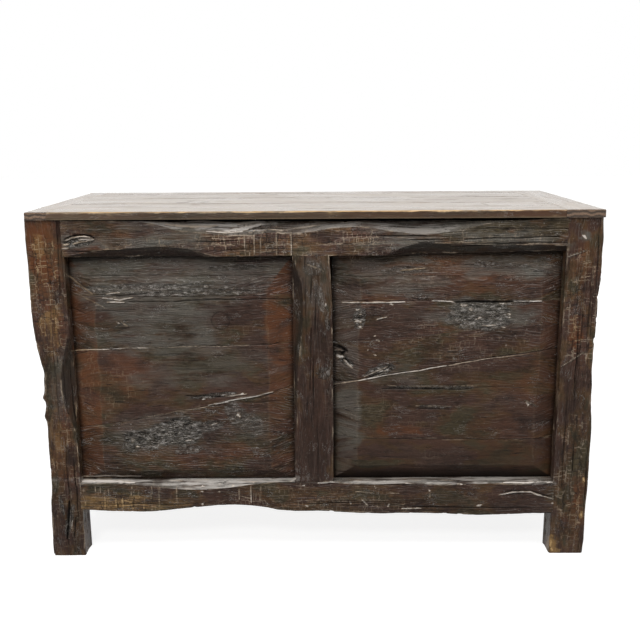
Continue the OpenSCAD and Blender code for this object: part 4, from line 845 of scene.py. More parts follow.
def bevelled(a, b, box, widths, field, shelf, seed):
    """Depth of a bevelled panel's face: the field, plus a ramp down to the shelf along each edge. Each
    ramp is smoothed where it starts, its width wanders by noise, and the deepest of the four wins by a
    soft maximum. Also gives where each of the four bevels is, and how near the ridge and the frame are."""
    a0, a1, b0, b1 = box
    ramps = []
    for n, (gap, run) in enumerate(((a - a0, b), (a1 - a, b), (b - b0, a), (b1 - b, a))):
        ramps.append(1 - gap / (widths[n] * (1 + 0.16 * cloud(run / 90, 0, seed + n, 3))))
    deepest = np.maximum.reduce(ramps)
    ramp = sum((0.5 * (t + np.sqrt(t * t + 0.002))) ** 14 for t in ramps) ** (1 / 14)
    sides = [step(*((-0.1, 0.8) if n == 2 else (-0.02, 0.03)), t) * (t >= deepest)
             for n, t in enumerate(ramps)]
    ridge = np.exp(-(deepest / 0.035) ** 2)
    rim = np.exp(-(np.clip((1 - deepest) * np.mean(widths), 0, None) / 7) ** 2)
    return field + (shelf - field) * np.clip(ramp, 0, 1.3), sides, ridge, rim


def panel_board(name, axes, face, box, joints, widths, depths, pitch, deep, wear, sunk,
                marks=None, rugged=0.6, gloom=0.0):
    """One board of a raised panel: its face follows the panel's bevels, and its two edges the joints.
    joints are its lower and its upper one, each a list of points, or None where it ends in the groove.
    depths are those of the field, the bevels' foot and the back, and marks names the panel's tints."""
    a0, a1, b0, b1 = box
    field, shelf, back = depths
    seed = seed_of(name)
    along = stations(a0 - GROOVE, a1 + GROOVE, pitch * (1.3 if marks else 2.2))
    wobble = 0.8 * cloud(along / 40, 0, 77, 3)
    low, high = (edge if joint is None else np.interp(along, *np.transpose(joint)) + gap + wobble
                 for edge, joint, gap in zip((b0 - GROOVE, b1 + GROOVE), joints, (BOARD_GAP, -BOARD_GAP)))
    section = Section(along, low, high, back - field, worn_legs(along, 1.3, seed),
                      worn_legs(along, 1.6, seed + 2), pitch, bow=0.6, back=(1.0, 1.0))
    place = seed_of(" ".join(f"{edge:.0f}" for edge in box))
    ground, sides, ridge, rim = bevelled(section.s, section.w, box, widths, field, shelf, place)
    share = 1 - np.clip(section.d / section.thick, 0, 1)
    relief, values = worn_skin(section, seed, deep, ridges=0.3, split_count=6, split_depth=1.4, wear=wear)
    values["rugged"] = values["rugged"] * rugged / 0.75
    if marks:
        relief = place_marks(section, axes, relief, values, ground + sunk)
        values["pale"] = np.zeros(relief.shape)
        for side, (key, strength) in zip(sides, BEVEL_TINTS_AND_PAINTED_LIGHT[marks]):
            raised(values, key, strength * side)
    # Painted shade along the frame, where the panel runs into the groove
    values["shade"] = np.maximum(values["shade"] * 0.5 + gloom, 0.95 * rim)
    # A faint light line along the bevels' ridge: wear and painted highlight
    raised(values, "wear", 0.07 * ridge * (1 - rim))
    arrises = (section.kind == HIGH_ARRIS) | (section.kind == LOW_ARRIS)
    raised(values, "hollow", 0.8 * (section.kind == SIDE) + 0.28 * arrises)
    front = 1 - step(0.0, 0.5, section.d / section.thick)
    section.d = section.d + (ground - field + sunk + relief * front) * share
    return carried(section, axes, face - field, relief * (1 - front) * 0.5, values, name)


def make_back_panels():
    """The eight boards of the two back panels."""
    look = bpy.context.scene.sideboard_sizes
    left = (-INNER_X, MUNTIN[0][0], BASE_TOP, RAIL_LOW)
    right = (MUNTIN[1][0], INNER_X, BASE_TOP, RAIL_LOW + RIGHT_RISE)
    for side, box, joints in (("left", left, LEFT_JOINTS), ("right", right, RIGHT_JOINTS)):
        edges = [None, *joints, None]
        for k in range(4):
            node = f"back_{side}_board_{k + 1}"
            shell = panel_board(node, "back_rail", FACE_Y, box, edges[k:k + 2], BEVELS[side], BACK_DEPTHS,
                                look.mesh_pitch / MM, deep=look.hewn_depth / MM * 1.1, wear=0.25,
                                sunk=SUNK[side][k], marks=side, rugged=RUGGED[side][k],
                                gloom=GLOOM[side][k])
            dress(node, [shell], "panel_wood")


# Plainer timbers of the sides, front and top

def plain_timber(name, axes, face, span, low, high, thick, deep=0.5, wear=0.6, arris=1.6,
                 pitch=3.0, back=(1.5, 1.5), rounded=(0, 0), bow=0.8):
    """The shell of a timber with straight edges: span is its two ends, low and high its edges, and
    rounded the radius of each face arris that is turned round, or 0 where it is only worn."""
    seed = seed_of(name)
    along = stations(*span, pitch * 2.2)
    legs = ((np.full(along.shape, radius),) * 2 if radius else worn_legs(along, arris, seed + n)
            for n, radius in enumerate(rounded))
    section = Section(along, low, high, thick, *legs, pitch, bow, back)
    skin = worn_skin(section, seed, deep, ridges=0.2, split_count=8, split_depth=1.6, wear=wear)
    return carried(section, axes, face, *skin, name)


def stacked_boards(name, axes, face, box, cuts, bevel, deep):
    """The shells of panel boards that lie one over the other. cuts are the shares of the height, at both
    ends, at which the boards meet, and bevel is the width of the panel's bevels."""
    a0, a1, b0, b1 = box
    height = b1 - b0
    joints = [[(a0 - 5, b0 + height * first), (a1 + 5, b0 + height * last)] for first, last in cuts]
    edges = [None, *joints, None]
    return [panel_board(f"{name}_{k}", axes, face, box, edges[k:k + 2], (bevel,) * 4, SIDE_DEPTHS,
                        PLAIN_PITCH, deep, wear=0.5, sunk=0.4 * (k % 2))
            for k in range(len(cuts) + 1)]


def make_side_walls():
    """Rails and panels of both short sides."""
    for side in ("left", "right"):
        axes = side + "_rail"
        for node in (side + "_top_rail", side + "_bottom_rail"):
            low, high = node_box(node)
            shell = plain_timber(node, axes, SIDE_X, (-INNER_Y - INTO_POST, INNER_Y + INTO_POST),
                                 low[2], high[2], high[0] - low[0], deep=0.8, wear=0.7, arris=2.0)
            dress(node, [shell], "frame_wood")
        node = side + "_panel_boards"
        box = (-INNER_Y, INNER_Y, BASE_TOP, node_box(side + "_top_rail")[0][2])
        cuts = (0.31, 0.36), (0.69, 0.66)
        shells = stacked_boards(node, axes, SIDE_X, box, cuts, SIDE_BEVEL, deep=0.9)
        dress(node, shells, "panel_wood")


# Dark marks on the top: width and strength, then x and y of each point
TOP_MARKS = [
    (7, 1.0, -338, -55, -312, -57), (6, 0.9, -318, -13, -303, -14), (6, 0.8, -295, -115, -277, -117),
    (6, 0.9, -283, -45, -266, -38), (8, 0.5, -490, 207, -439, 204), (5, 0.5, -245, -26, -207, -28),
    (8, 0.7, -166, 240, -104, 181), (7, 0.6, -35, 247, -14, 257), (6, 0.6, 247, 71, 295, 78),
    (6, 0.7, 272, -14, 352, -10), (4, 0.6, 395, -108, 401, -168), (8, 0.6, 566, 188, 591, 187),
    (8, 0.5, 113, 248, 151, 257), (6, 0.5, 11, 96, 58, 93), (6, 0.5, 464, -3, 508, 7),
    (6, 0.5, 523, -115, 567, -139), (7, 0.5, 389, 121, 431, 108), (5, 0.3, -60, 60, 60, 55),
    (6, 0.35, -420, 120, -330, 116), (4, 0.35, 180, -170, 260, -176), (5, 0.3, -520, -60, -460, -66),
]
# Distance between the sections along a board of the top
TOP_PITCH = 5.0
# The doors: widths of stiles and rails, radius and sides of the pivot pins, and distance between points
DOOR_STILE, DOOR_RAIL, PIN_RADIUS, PIN_SIDES, DOOR_PITCH = 48, 52, 6.5, 24, 2.6


def top_board(name, along, low, high, wears, split_count, wear):
    """The section, relief and values of a board of the top. wears is the wear of its low and its high
    arris: one of more than 1 mm is on the top's outside, where the board stands proud of the solid."""
    seed = seed_of(name)
    low, high = (edge + way * PROUD * (worn > 1) for edge, way, worn in zip((low, high), (-1, 1), wears))
    legs = (worn_legs(along, worn, seed + n) for n, worn in enumerate(wears))
    section = Section(along, low, high, TOP_Z - FRAME_TOP, *legs, pitch=2.2, bow=0.8, back=(1.5, 1.5))
    relief, values = worn_skin(section, seed, deep=0.3, ridges=0.08, split_count=split_count,
                               split_depth=1.2, wear=wear)
    for key in ("ash", "warm", "shade"):
        values[key] = 0.4 * values[key]
    return section, relief, values


def tint_front_edge(section, values):
    """Tints the edge of the top over the back's panels: a rough side with dark, warm, tan and grey
    stretches, and an arris worn orange and cream. A stretch is a blob or a step along the length."""
    s, edge, arris = section.s, (section.kind == SIDE) * ~section.upper, section.kind == LOW_ARRIS

    def stretch(middle, half, seed):
        """1 over a stretch of the length, given by its middle and half its length."""
        return blob(s, np.zeros(s.shape), (middle, 0, half, 9, 0), seed)

    darker = 0.45 + 0.45 * step(-560, -330, s) * (1 - 0.5 * step(300, 480, s))
    values["shade"] = np.where(edge, darker + 0.25 * cloud(s / 60, section.d / 4, 51, 3), values["shade"])
    values["rugged"] = np.where(edge, 3.0, values["rugged"])
    raised(values, "warm", edge * (0.7 + 0.3 * stretch(330, 260, 52)))
    raised(values, "tan", edge * np.maximum(0.15 * stretch(60, 210, 53), 0.9 * stretch(42, 14, 54)))
    raised(values, "ash", edge * 0.3 * stretch(-480, 130, 55))
    orange = step(-0.3, 0.3, cloud(s / 120, 0, 5, 3) + 0.5 * step(-300, 0, s))
    raised(values, "tan", arris * (0.5 + 0.9 * orange))
    cream = step(-0.15, 0.2, cloud(s / 70, 0, 56, 3)) * step(-560, -480, s) * (1 - step(470, 540, s))
    raised(values, "wear", arris * 0.8 * cream)


def make_top():
    """The long boards and end boards of the top, with dark marks, and grime along the seams."""
    starts, ends = node_box("top_end_left")[1][0] + 0.5, node_box("top_end_right")[0][0] - 0.5
    along = stations(starts, ends, TOP_PITCH)
    for k in range(4):
        node = f"top_plank_{k + 1}"
        low, high = node_box(node)
        wears = (3.6 if k == 0 else 0.7, 2.4 if k == 3 else 0.7)
        section, relief, values = top_board(node, along, low[1], high[1], wears, split_count=12, wear=0.7)
        dark = scratched(section.s, section.w, TOP_MARKS, 40) * (section.kind == FLAT)
        grime = 0.45 * step(-0.3, 0.3, cloud(section.s / 90, 0, seed_of(node) + 61, 3))
        for seamed, seam in ((k > 0, section.low), (k < 3, section.high)):
            dark = np.maximum(dark, seamed * grime * np.exp(-((section.w - seam) / 4) ** 2))
        relief = relief + 0.8 * dark
        raised(values, "hollow", 0.6 * dark)
        if k == 0:
            tint_front_edge(section, values)
        dress(node, [carried(section, "top_long", TOP_Z, relief, values, node)], "top_wood")
    for node, wears in (("top_end_left", (3.0, 1.0)), ("top_end_right", (1.0, 3.0))):
        low, high = node_box(node)
        along = stations(low[1], high[1], TOP_PITCH)
        section, relief, values = top_board(node, along, low[0], high[0], wears, split_count=6, wear=1.0)
        raised(values, "shade", 0.55 * (section.kind == SIDE))
        dress(node, [carried(section, "top_end", TOP_Z, relief, values, node)], "top_wood")


def make_front_frame():
    """The front posts, rails, dividers, jambs and fixed panels."""
    along = stations(0, FRAME_TOP, pitch=6.0)
    for node in ("post_front_left", "post_front_right"):
        edge = SIDE_X - (1.2 + 1.2 * cloud(along / 150, 0, seed_of(node), 3))
        low, high = (-edge, -INNER_X) if node == "post_front_left" else (INNER_X, edge)
        section = Section(along, low, high, FACE_Y - INNER_Y, worn_legs(along, 2.6, 31),
                          worn_legs(along, 2.6, 32), pitch=2.6)
        skin = worn_skin(section, seed_of(node), deep=0.8, ridges=0.25, split_count=14, split_depth=2.0,
                         wear=0.8)
        dress(node, [carried(section, "front_post", FACE_Y, *skin, node)], "frame_wood")
    for node in ("front_top_rail", "front_drawer_rail", "front_bottom_rail"):
        low, high = node_box(node)
        shell = plain_timber(node, "front_rail", FACE_Y, (-INNER_X - INTO_POST, INNER_X + INTO_POST),
                             low[2], high[2], high[1] - low[1], deep=0.6, wear=0.7, arris=2.0)
        dress(node, [shell], "frame_wood")
    left, middle, right = (node_box(f"drawer_{name}_front") for name in ("left", "middle", "right"))
    gap = left[0][0] + INNER_X
    depth = FACE_Y - node_box("drawer_dividers")[0][1]
    span = (node_box("front_drawer_rail")[1][2] - 1, node_box("front_top_rail")[0][2] + 1)
    shells = [plain_timber(f"divider_{n}", "front_post", FACE_Y, span, a[1][0] + gap, b[0][0] - gap,
                           depth, deep=0.4, wear=0.7)
              for n, (a, b) in enumerate(((left, middle), (middle, right)))]
    dress("drawer_dividers", shells, "frame_wood")
    jamb_in, jamb_out = node_box("door_stops")[1][0], node_box("door_jambs")[1][0]
    door_top = node_box("front_drawer_rail")[0][2]
    shells = [plain_timber(f"jamb_{n}", "front_post", FACE_Y, (BASE_TOP - 1, door_top + 1), low, high,
                           depth, deep=0.4, wear=0.7)
              for n, (low, high) in enumerate(((-jamb_out, -jamb_in), (jamb_in, jamb_out)))]
    dress("door_jambs", shells, "frame_wood")
    left = stacked_boards("fixed_0", "front_rail", FACE_Y, (-INNER_X, -jamb_out, BASE_TOP, door_top),
                          cuts=((0.52, 0.48),), bevel=FRONT_BEVEL, deep=0.6)
    right = stacked_boards("fixed_1", "front_rail", FACE_Y, (jamb_out, INNER_X, BASE_TOP, door_top),
                           cuts=((0.48, 0.52),), bevel=FRONT_BEVEL, deep=0.6)
    dress("front_fixed_panels", left + right, "panel_wood")


def make_drawer_fronts():
    """The fronts of the three drawers."""
    for name in ("left", "middle", "right"):
        node = f"drawer_{name}_front"
        low, high = node_box(node)
        shell = plain_timber(node, "front_rail", high[1], (low[0], high[0]), low[2], high[2],
                             high[1] - low[1], deep=0.5, wear=0.6, arris=1.8, pitch=2.6,
                             back=(1.0, 1.0))
        dress(node, [shell], "frame_wood")


def make_doors():
    """Both doors: two stiles, of which the outer one has a half-round edge and two pivot pins, two
    rails and a bevelled panel."""
    for side, name in ((-1, "left"), (1, "right")):
        low, high = node_box(f"door_{name}_stiles")
        z0, z1 = (corner[2] for corner in node_box(f"door_{name}_rails"))
        thick, face = high[1] - low[1], high[1]
        outer, inner = (low[0], high[0]) if side < 0 else (high[0], low[0])
        hinge, meet = outer - side * DOOR_STILE, inner + side * DOOR_STILE
        half = thick / 2
        rounded, back = ((half, 0), (half, 1.5)) if side < 0 else ((0, half), (1.5, half))
        shells = [
            plain_timber(f"{name}_hinge_stile", "front_post", face, (z0, z1), *sorted((outer, hinge)),
                         thick, deep=0.35, wear=0.6, pitch=DOOR_PITCH, back=back, rounded=rounded, bow=1.0),
            plain_timber(f"{name}_meeting_stile", "front_post", face, (z0, z1), *sorted((inner, meet)),
                         thick, deep=0.35, wear=0.7, pitch=DOOR_PITCH),
        ]
        for start, end in ((low[2], z0 + 1), (z1 - 1, high[2])):
            path = np.array([(outer - side * half, face - half, z) for z in (start, end)])
            shells.append(tube(path, PIN_SIDES, PIN_RADIUS, ((1, 0, 0), (0, 1, 0))))
        dress(f"door_{name}_stiles", shells, "frame_wood")
        x0, x1 = sorted((hinge, meet))
        shells = [plain_timber(f"{name}_rail_{n}", "front_rail", face, (x0 - 1, x1 + 1), *levels, thick,
                               deep=0.35, wear=0.6, pitch=DOOR_PITCH)
                  for n, levels in enumerate(((z0, z0 + DOOR_RAIL), (z1 - DOOR_RAIL, z1)))]
        dress(f"door_{name}_rails", shells, "frame_wood")
        node = f"door_{name}_panel"
        shell = panel_board(node, "front_rail", face, (x0, x1, z0 + DOOR_RAIL, z1 - DOOR_RAIL),
                            (None, None), (DOOR_BEVEL,) * 4, DOOR_DEPTHS,
                            pitch=2.8, deep=0.5, wear=0.5, sunk=0.0)
        dress(node, [shell], "panel_wood")


# Iron

PLATE_RADIUS, PLATE_THICK = 21.0, 1.6
EYE_RADIUS, EYE_WIRE = 5.0, 1.6
RING_RADIUS, RING_WIRE = 18.0, 2.2
# Half the length of the pin's two ends, which are bent flat behind the wood
CLINCH = 16.0
# Mesh points round a ring, round a plate and round the wire
RING_STEPS, PLATE_STEPS, WIRE_SIDES = 72, 64, 16


def wire_ring(middle, radius, wire, plane, seed):
    """A forged ring: a tube round a circle in the plane of two unit vectors. The plain radius of its
    wire is dented by noise along and round it."""
    turn = np.linspace(0, 2 * math.pi, RING_STEPS, endpoint=False)[:, None]
    u, v = np.array(plane, float)
    outwards = np.cos(turn) * u + np.sin(turn) * v
    along = np.linspace(0, 24, RING_STEPS, endpoint=False)[:, None]
    round_it = np.linspace(0, 5, WIRE_SIDES, endpoint=False)[None, :]
    dented = wire * (1 - 0.12 * (0.5 + 0.5 * cloud(along, round_it, seed, 3)))
    return tube(np.array(middle) + radius * outwards, WIRE_SIDES, dented, (outwards, np.cross(u, v)),
                closed=True)


def plate_shell(middle, seed):
    """A round plate with a low dome and a dented rim: the profile of radius and height, turned round
    the Y axis. Its rim wanders by noise."""
    share = np.concatenate([[0.02], np.linspace(0.1, 0.94, 14), [0.985, 1.0, 0.985, 0.9, 0.02]])[:, None]
    lift = np.concatenate([[1.0], 1 - 0.55 * np.linspace(0.1, 0.94, 14) ** 2, [0.32, 0.16, 0, 0, 0]])
    lift = lift[:, None]
    turn = np.linspace(0, 2 * math.pi, PLATE_STEPS, endpoint=False)[None, :]
    rim = 1 - 0.035 * (0.5 + 0.5 * cloud(np.cos(turn) * 2 + 7, np.sin(turn) * 2 + 7, seed, 3))
    r = PLATE_RADIUS * share * rim
    x, z = r * np.cos(turn), r * np.sin(turn)
    y = PLATE_THICK * lift + 0.12 * cloud(x / 5 + 9, z / 5 + 9, seed + 4, 3) * (lift > 0.3)
    points = np.stack([x, np.clip(y, 0, PLATE_THICK), z], -1) + np.array(middle)
    index = np.arange(r.size).reshape(r.shape)
    after = np.roll(index, -1, 1)
    quads = np.stack([index[:-1], index[1:], after[1:], after[:-1]], -1)
    return plain_shell(points, quads, [index[0], index[-1][::-1]])


def make_ring_pulls():
    """Plate, eye and split pin of each pull, and the ring that hangs in it."""
    for body in ("drawer_left", "drawer_middle", "drawer_right", "door_left", "door_right"):
        seed = seed_of(body)
        low, high = node_box(body + "_pull")
        x, _, z = (low + high) / 2
        eye_y = high[1] - EYE_RADIUS - EYE_WIRE
        face = high[1] - 2 * (EYE_RADIUS + EYE_WIRE) - PLATE_THICK + 1.0
        shank = np.array([(x, low[1] + 2 * EYE_WIRE, z), (x, face + 1.0, z)])
        rise = np.linspace(-CLINCH, CLINCH, 9)
        clinch = np.stack(np.broadcast_arrays(x, low[1] + EYE_WIRE, z + rise), -1)
        taper = EYE_WIRE * (1 - 0.5 * np.abs(rise / CLINCH) ** 3)[:, None]
        shells = [
            plate_shell((x, face, z), seed),
            wire_ring((x, eye_y, z), EYE_RADIUS, EYE_WIRE, ((0, 1, 0), (0, 0, 1)), seed + 1),
            tube(shank, WIRE_SIDES, EYE_WIRE, ((1, 0, 0), (0, 0, -1))),
            tube(clinch, WIRE_SIDES, taper, ((1, 0, 0), (0, 1, 0))),
        ]
        dress(body + "_pull", shells, "iron")
        _, ring_y, ring_z = sum(node_box(body + "_ring")) / 2
        ring = wire_ring((x, ring_y, ring_z), RING_RADIUS, RING_WIRE, ((1, 0, 0), (0, 0, 1)), seed + 2)
        dress(body + "_ring", [ring], "iron")


# Materials

# Linear colours: the darkest hollows, the light rings of the top's sawn ends, and rust
BLACK = (0.003, 0.0022, 0.0018)
TOP_END_LIGHT = (0.30, 0.19, 0.125)
RUST = (0.11, 0.05, 0.025)
WHITE = (1, 1, 1)


class Value:
    """The output of a shader node. Each sum with it, such as one with +, - or *, adds a node."""

    def __init__(self, socket):
        self.socket, self.tree = socket, socket.id_data

    def maths(self, operation, *others):
        """One step of arithmetic with this value first."""
        made = put(self.tree, "Math", dict(enumerate((self, *others))), operation=operation)
        return Value(made.outputs[0])

    def __add__(self, other):
        return self.maths("ADD", other)

    def __sub__(self, other):
        return self.maths("SUBTRACT", other)

    def __mul__(self, other):
        return self.maths("MULTIPLY", other)

    def held(self):
        """The same value, held from 0 to 1."""
        self.socket.node.use_clamp = True
        return self

    def within(self, low, high, to_low=0.0, to_high=1.0):
        """The value's place from low to high, carried over to the new range and held within it."""
        made = put(self.tree, "MapRange", {"Value": self, "From Min": low, "From Max": high,
                                           "To Min": to_low, "To Max": to_high},
                   interpolation_type="SMOOTHSTEP")
        return Value(made.outputs["Result"])


def plug(tree, value, socket):
    """Links a Value to the socket, or makes the number or colour the socket's own."""
    if isinstance(value, Value):
        tree.links.new(value.socket, socket)
    else:
        socket.default_value = (*value[:3], 1.0) if socket.type == "RGBA" else value


def put(tree, kind, inputs=None, **props):
    """Adds a shader node with its properties and inputs."""
    made = tree.nodes.new("ShaderNode" + kind)
    for key, value in props.items():
        setattr(made, key, value)
    for key, value in (inputs or {}).items():
        plug(tree, value, made.inputs[key])
    return made


def blended(tree, share, first, second, kind="MIX"):
    """The colour between first and second by share."""
    made = put(tree, "Mix", data_type="RGBA", blend_type=kind)
    for value, n in ((share, 0), (first, 6), (second, 7)):
        plug(tree, value, made.inputs[n])
    return Value(made.outputs[2])


def noise(tree, place, scale, detail=4.0, rough=0.55, distortion=0.0):
    """Noise in the space of place, stretched by a scale for each axis."""
    moved = put(tree, "Mapping", {"Vector": place, "Scale": scale})
    made = put(tree, "TexNoise", {"Vector": Value(moved.outputs[0]), "Scale": 1.0, "Detail": detail,
                                  "Roughness": rough, "Distortion": distortion})
    return Value(made.outputs["Fac"])


def crackle(tree, place, wander, along, across):
    """Cracks of a crazed lacquer, 1 on a crack and 0 between, and a tone from 0 to 1 for each tile
    between them: a brick pattern whose bricks are along by across metres, pushed about by noise."""
    shift = (wander - 0.5) * (1.1 * along)
    shift = Value(put(tree, "CombineXYZ", {0: shift, 1: shift}).outputs[0])
    pushed = Value(put(tree, "VectorMath", {0: place, 1: shift}, operation="ADD").outputs[0])
    made = put(tree, "TexBrick", {"Vector": pushed, "Scale": 1.0, "Mortar Size": 0.0013,
                                  "Mortar Smooth": 0.4, "Brick Width": along, "Row Height": across,
                                  "Color1": (0, 0, 0), "Color2": WHITE, "Mortar": (0.5, 0.5, 0.5)},
               offset=0.37, squash=1.35, squash_frequency=3)
    return Value(made.outputs["Fac"]), Value(made.outputs["Color"])


def shader(name, specular):
    """An empty material with a principled shader of the given specular level."""
    material = bpy.data.materials.new(name)
    material.use_nodes = True
    tree = material.node_tree
    surface = tree.nodes["Principled BSDF"]
    plug(tree, specular, surface.inputs["Specular IOR Level"])
    return material, tree, surface


def finished(material, colour, rough, height, strength, distance):
    """The material, once its colour, its roughness and the height of its fine relief are plugged in."""
    tree = material.node_tree
    bump = put(tree, "Bump", {"Height": height, "Strength": strength, "Distance": distance})
    values = {"Base Color": colour, "Roughness": rough, "Normal": Value(bump.outputs[0])}
    for key, value in values.items():
        plug(tree, value, tree.nodes["Principled BSDF"].inputs[key])
    return material


def between(first, second, share):
    """The colour that lies that share of the way from first to second."""
    return tuple(a + (b - a) * share for a, b in zip(first, second))


def point_value(tree, name):
    """The piece's own attribute of that name."""
    made = put(tree, "Attribute", attribute_type="GEOMETRY", attribute_name=name)
    return Value(made.outputs["Vector" if name == "grain" else "Fac"])


def own_place(tree):
    """The place in the piece's own space."""
    return Value(put(tree, "TexCoord").outputs["Object"])


def worn_wood(name, dark, brown, look, gloss=0.3, craze=1.0, specular=0.1, rough_skin=1.0,
              sheen_tint=WHITE, calm=0.0):
    """Lacquered wood: patches of three hues, streaks and wavy ridges along the grain, tints and wear
    from the piece's point values, which include painted sheen, highlights and shade, painted glints and
    specks, a crazed lacquer, and relief too fine for the mesh. calm, from 0 to 1, draws the hues
    together and the patches out along the grain."""
    material, tree, surface = shader(name, specular)
    plug(tree, sheen_tint, surface.inputs["Specular Tint"])
    grain = point_value(tree, "grain")
    wear, ash, warm, tan, crazed, torn, hollow, shade, pale, rugged = (
        point_value(tree, key) for key in VALUES)
    skin = rugged * rough_skin
    drawn_out = 1 - 0.65 * calm
    streak = noise(tree, grain, (10, 90, 1), 7.0, 0.62, 0.25)
    blot = noise(tree, grain, (12 * drawn_out, 20, 1), 6.0, 0.62)
    fibre = noise(tree, grain, (26, 200, 1), 4.0, 0.66)
    grit = noise(tree, grain, (120, 170, 1), 4.0, 0.7)
    hue = noise(tree, grain, (8 * drawn_out, 15, 1), 3.0, 0.6)
    fine = noise(tree, grain, (85, 210, 1), 2.0, 0.6)
    wander = noise(tree, grain, (20, 20, 1), 4.0, 0.65)
    tear = noise(tree, grain, (80, 175, 1), 4.0, 0.75)

    bent = noise(tree, grain, (7, 12, 1), 3.0, 0.5) * 60.0
    across = Value(put(tree, "SeparateXYZ", {0: grain}).outputs[1])
    ridges = (across * 1100.0 + bent).maths("SINE").maths("MULTIPLY_ADD", 0.5, 0.5)
    ridge_share = ridges.within(0.6, 1.0) * skin * fibre.within(0.46, 0.62, 0.0, 0.24)

    crazing, tile = crackle(tree, grain, wander, 0.029, 0.036)
    small, _ = crackle(tree, grain, wander, 0.0105, 0.015)
    _, plate = crackle(tree, grain, wander, 0.085, 0.06)
    tile = tile * crazed + plate * 0.6
    crazing = crazing.maths("MAXIMUM", small * 0.6) * (blot + grit).within(0.8, 1.05)
    craze_share = crazing * (crazed * craze)
    golden = (warm * 0.6).maths("MAXIMUM", tan * 1.2).held()
    light = blended(tree, golden, look.worn_colour, look.gold_colour)
    bared = noise(tree, grain, (31, 43, 1), 2.0, 0.6).within(0.46, 0.54)

    # Painted specks of glinting light, where the skin is rugged
    painted_speck = (noise(tree, grain, (130, 210, 1), 3.0, 0.7).within(0.66, 0.70) * skin).held()
    pore = noise(tree, grain, (16, 190, 1), 3.0, 0.6).within(0.34, 0.30)
    # Painted glints: thin light contour lines in torn and rugged patches, also raised a little
    contour = (noise(tree, grain, (30, 150, 1), 4.0, 0.66) - 0.52).maths("ABSOLUTE")
    patchy = skin * noise(tree, grain, (19, 30, 1), 3.0, 0.6).within(0.55, 0.63)
    painted_glint = (contour.within(0.015, 0.007) * torn.maths("MAXIMUM", patchy)).held()

    plum, olive = (between(tint, brown, calm) for tint in (look.plum_colour, look.olive_colour))
    colour = blended(tree, hue.within(0.45, 0.53), plum, brown)
    colour = blended(tree, hue.within(0.54, 0.6), colour, olive)
    tone = streak * (0.2 + 0.25 * calm) + blot * (0.4 - 0.25 * calm) + grit * 0.2 + fibre * 0.2
    colour = blended(tree, tone.within(0.30, 0.56), dark, colour)
    mottle = skin.maths("MULTIPLY_ADD", 0.9, 0.1).held()
    colour = blended(tree, mottle, colour, fine.within(0.36, 0.64, 0.72, 1.32), "MULTIPLY")
    colour = blended(tree, craze, colour, tile.within(0.0, 1.4, 0.74, 1.36), "MULTIPLY")
    # Coats from the lowest up: the share of each, and its colour. The grey coat is dust and painted
    # sheen, the pale one painted highlight with dust, the specks and glints are painted, and the shade
    # and hollow coats hold painted shade besides dark tone, cracks and joints
    for share, tint in (
        (warm * blot.within(0.3, 0.6), look.warm_colour),
        ((ash * (blot + streak).within(0.7, 1.15)).held(), look.grey_dust_and_sheen_colour),
        ((pale * (hue + streak).within(0.82, 1.06)).held(), look.dust_and_highlight_colour),
        (tan * (streak + blot).within(0.8, 1.15), look.tan_colour),
        (torn * 0.6, look.grey_dust_and_sheen_colour),
        (torn * tear.within(0.54, 0.62), look.torn_fibre_and_glint_colour),
        (torn * tear.within(0.48, 0.42) * 0.92, BLACK),
        (ridge_share.held(), look.torn_fibre_and_glint_colour),
        (craze_share * 0.75, blended(tree, bared, BLACK, light)),
        (painted_speck * 0.55, look.torn_fibre_and_glint_colour),
        (pore * 0.7, BLACK),
        (shade * 0.8, look.dark_colour),
        (painted_glint, look.torn_fibre_and_glint_colour),
        ((wear * (grit + streak).within(0.75, 1.1)).held(), light),
        (wear.within(0.65, 1.25), blended(tree, golden, look.chip_colour, light)),
        (hollow * 0.95, BLACK),
    ):
        colour = blended(tree, share, colour, tint)

    rough = blot * 0.3 + (gloss - 0.12) + wear * 0.15 + hollow * 0.4
    height = (ridges * 0.1 + grit * 0.5 + fibre * 0.45 + painted_glint * 0.3) * (rugged + 0.1)
    height = height + blot * 0.9 + torn * tear * 1.8 - craze_share * 0.35 - pore * 0.25
    return finished(material, colour, rough.held(), height, 1.0, 0.0045 * rough_skin)


def end_grain(name, dark, light):
    """The sawn ends: rings round a heart outside the timber, in the piece's own place."""
    material, tree, _ = shader(name, 0.3)
    place = own_place(tree)
    moved = put(tree, "Mapping", {"Vector": place, "Location": (0.31, 0.17, 0.09)})
    rings = put(tree, "TexWave", {"Vector": Value(moved.outputs[0]), "Scale": 34.0, "Distortion": 5.0,
                                  "Detail": 3.0, "Detail Scale": 1.4}, wave_type="RINGS")
    share = Value(rings.outputs["Fac"]) * noise(tree, place, (900,) * 3, 2.0, 0.6).within(0.3, 0.7)
    return finished(material, blended(tree, share, dark, light), 0.6, share, 0.5, 0.001)


def bare_wood(name, light, scale):
    """Dry inner wood: streaks in the piece's own place, stretched along its grain by scale."""
    material, tree, _ = shader(name, 0.3)
    place = own_place(tree)
    shade = between((0, 0, 0), light, 0.45)
    streak = noise(tree, place, scale, 6.0, 0.6, 0.6)
    pores = noise(tree, place, tuple(9 * size for size in scale), 2.0)
    tone = streak * 0.7 + noise(tree, place, (7, 7, 7), 3.0) * 0.3
    colour = blended(tree, tone.within(0.34, 0.64), shade, light)
    colour = blended(tree, pores.within(0.6, 0.75, 0.0, 0.5), colour, shade)
    return finished(material, colour, 0.78, streak, 0.4, 0.001)


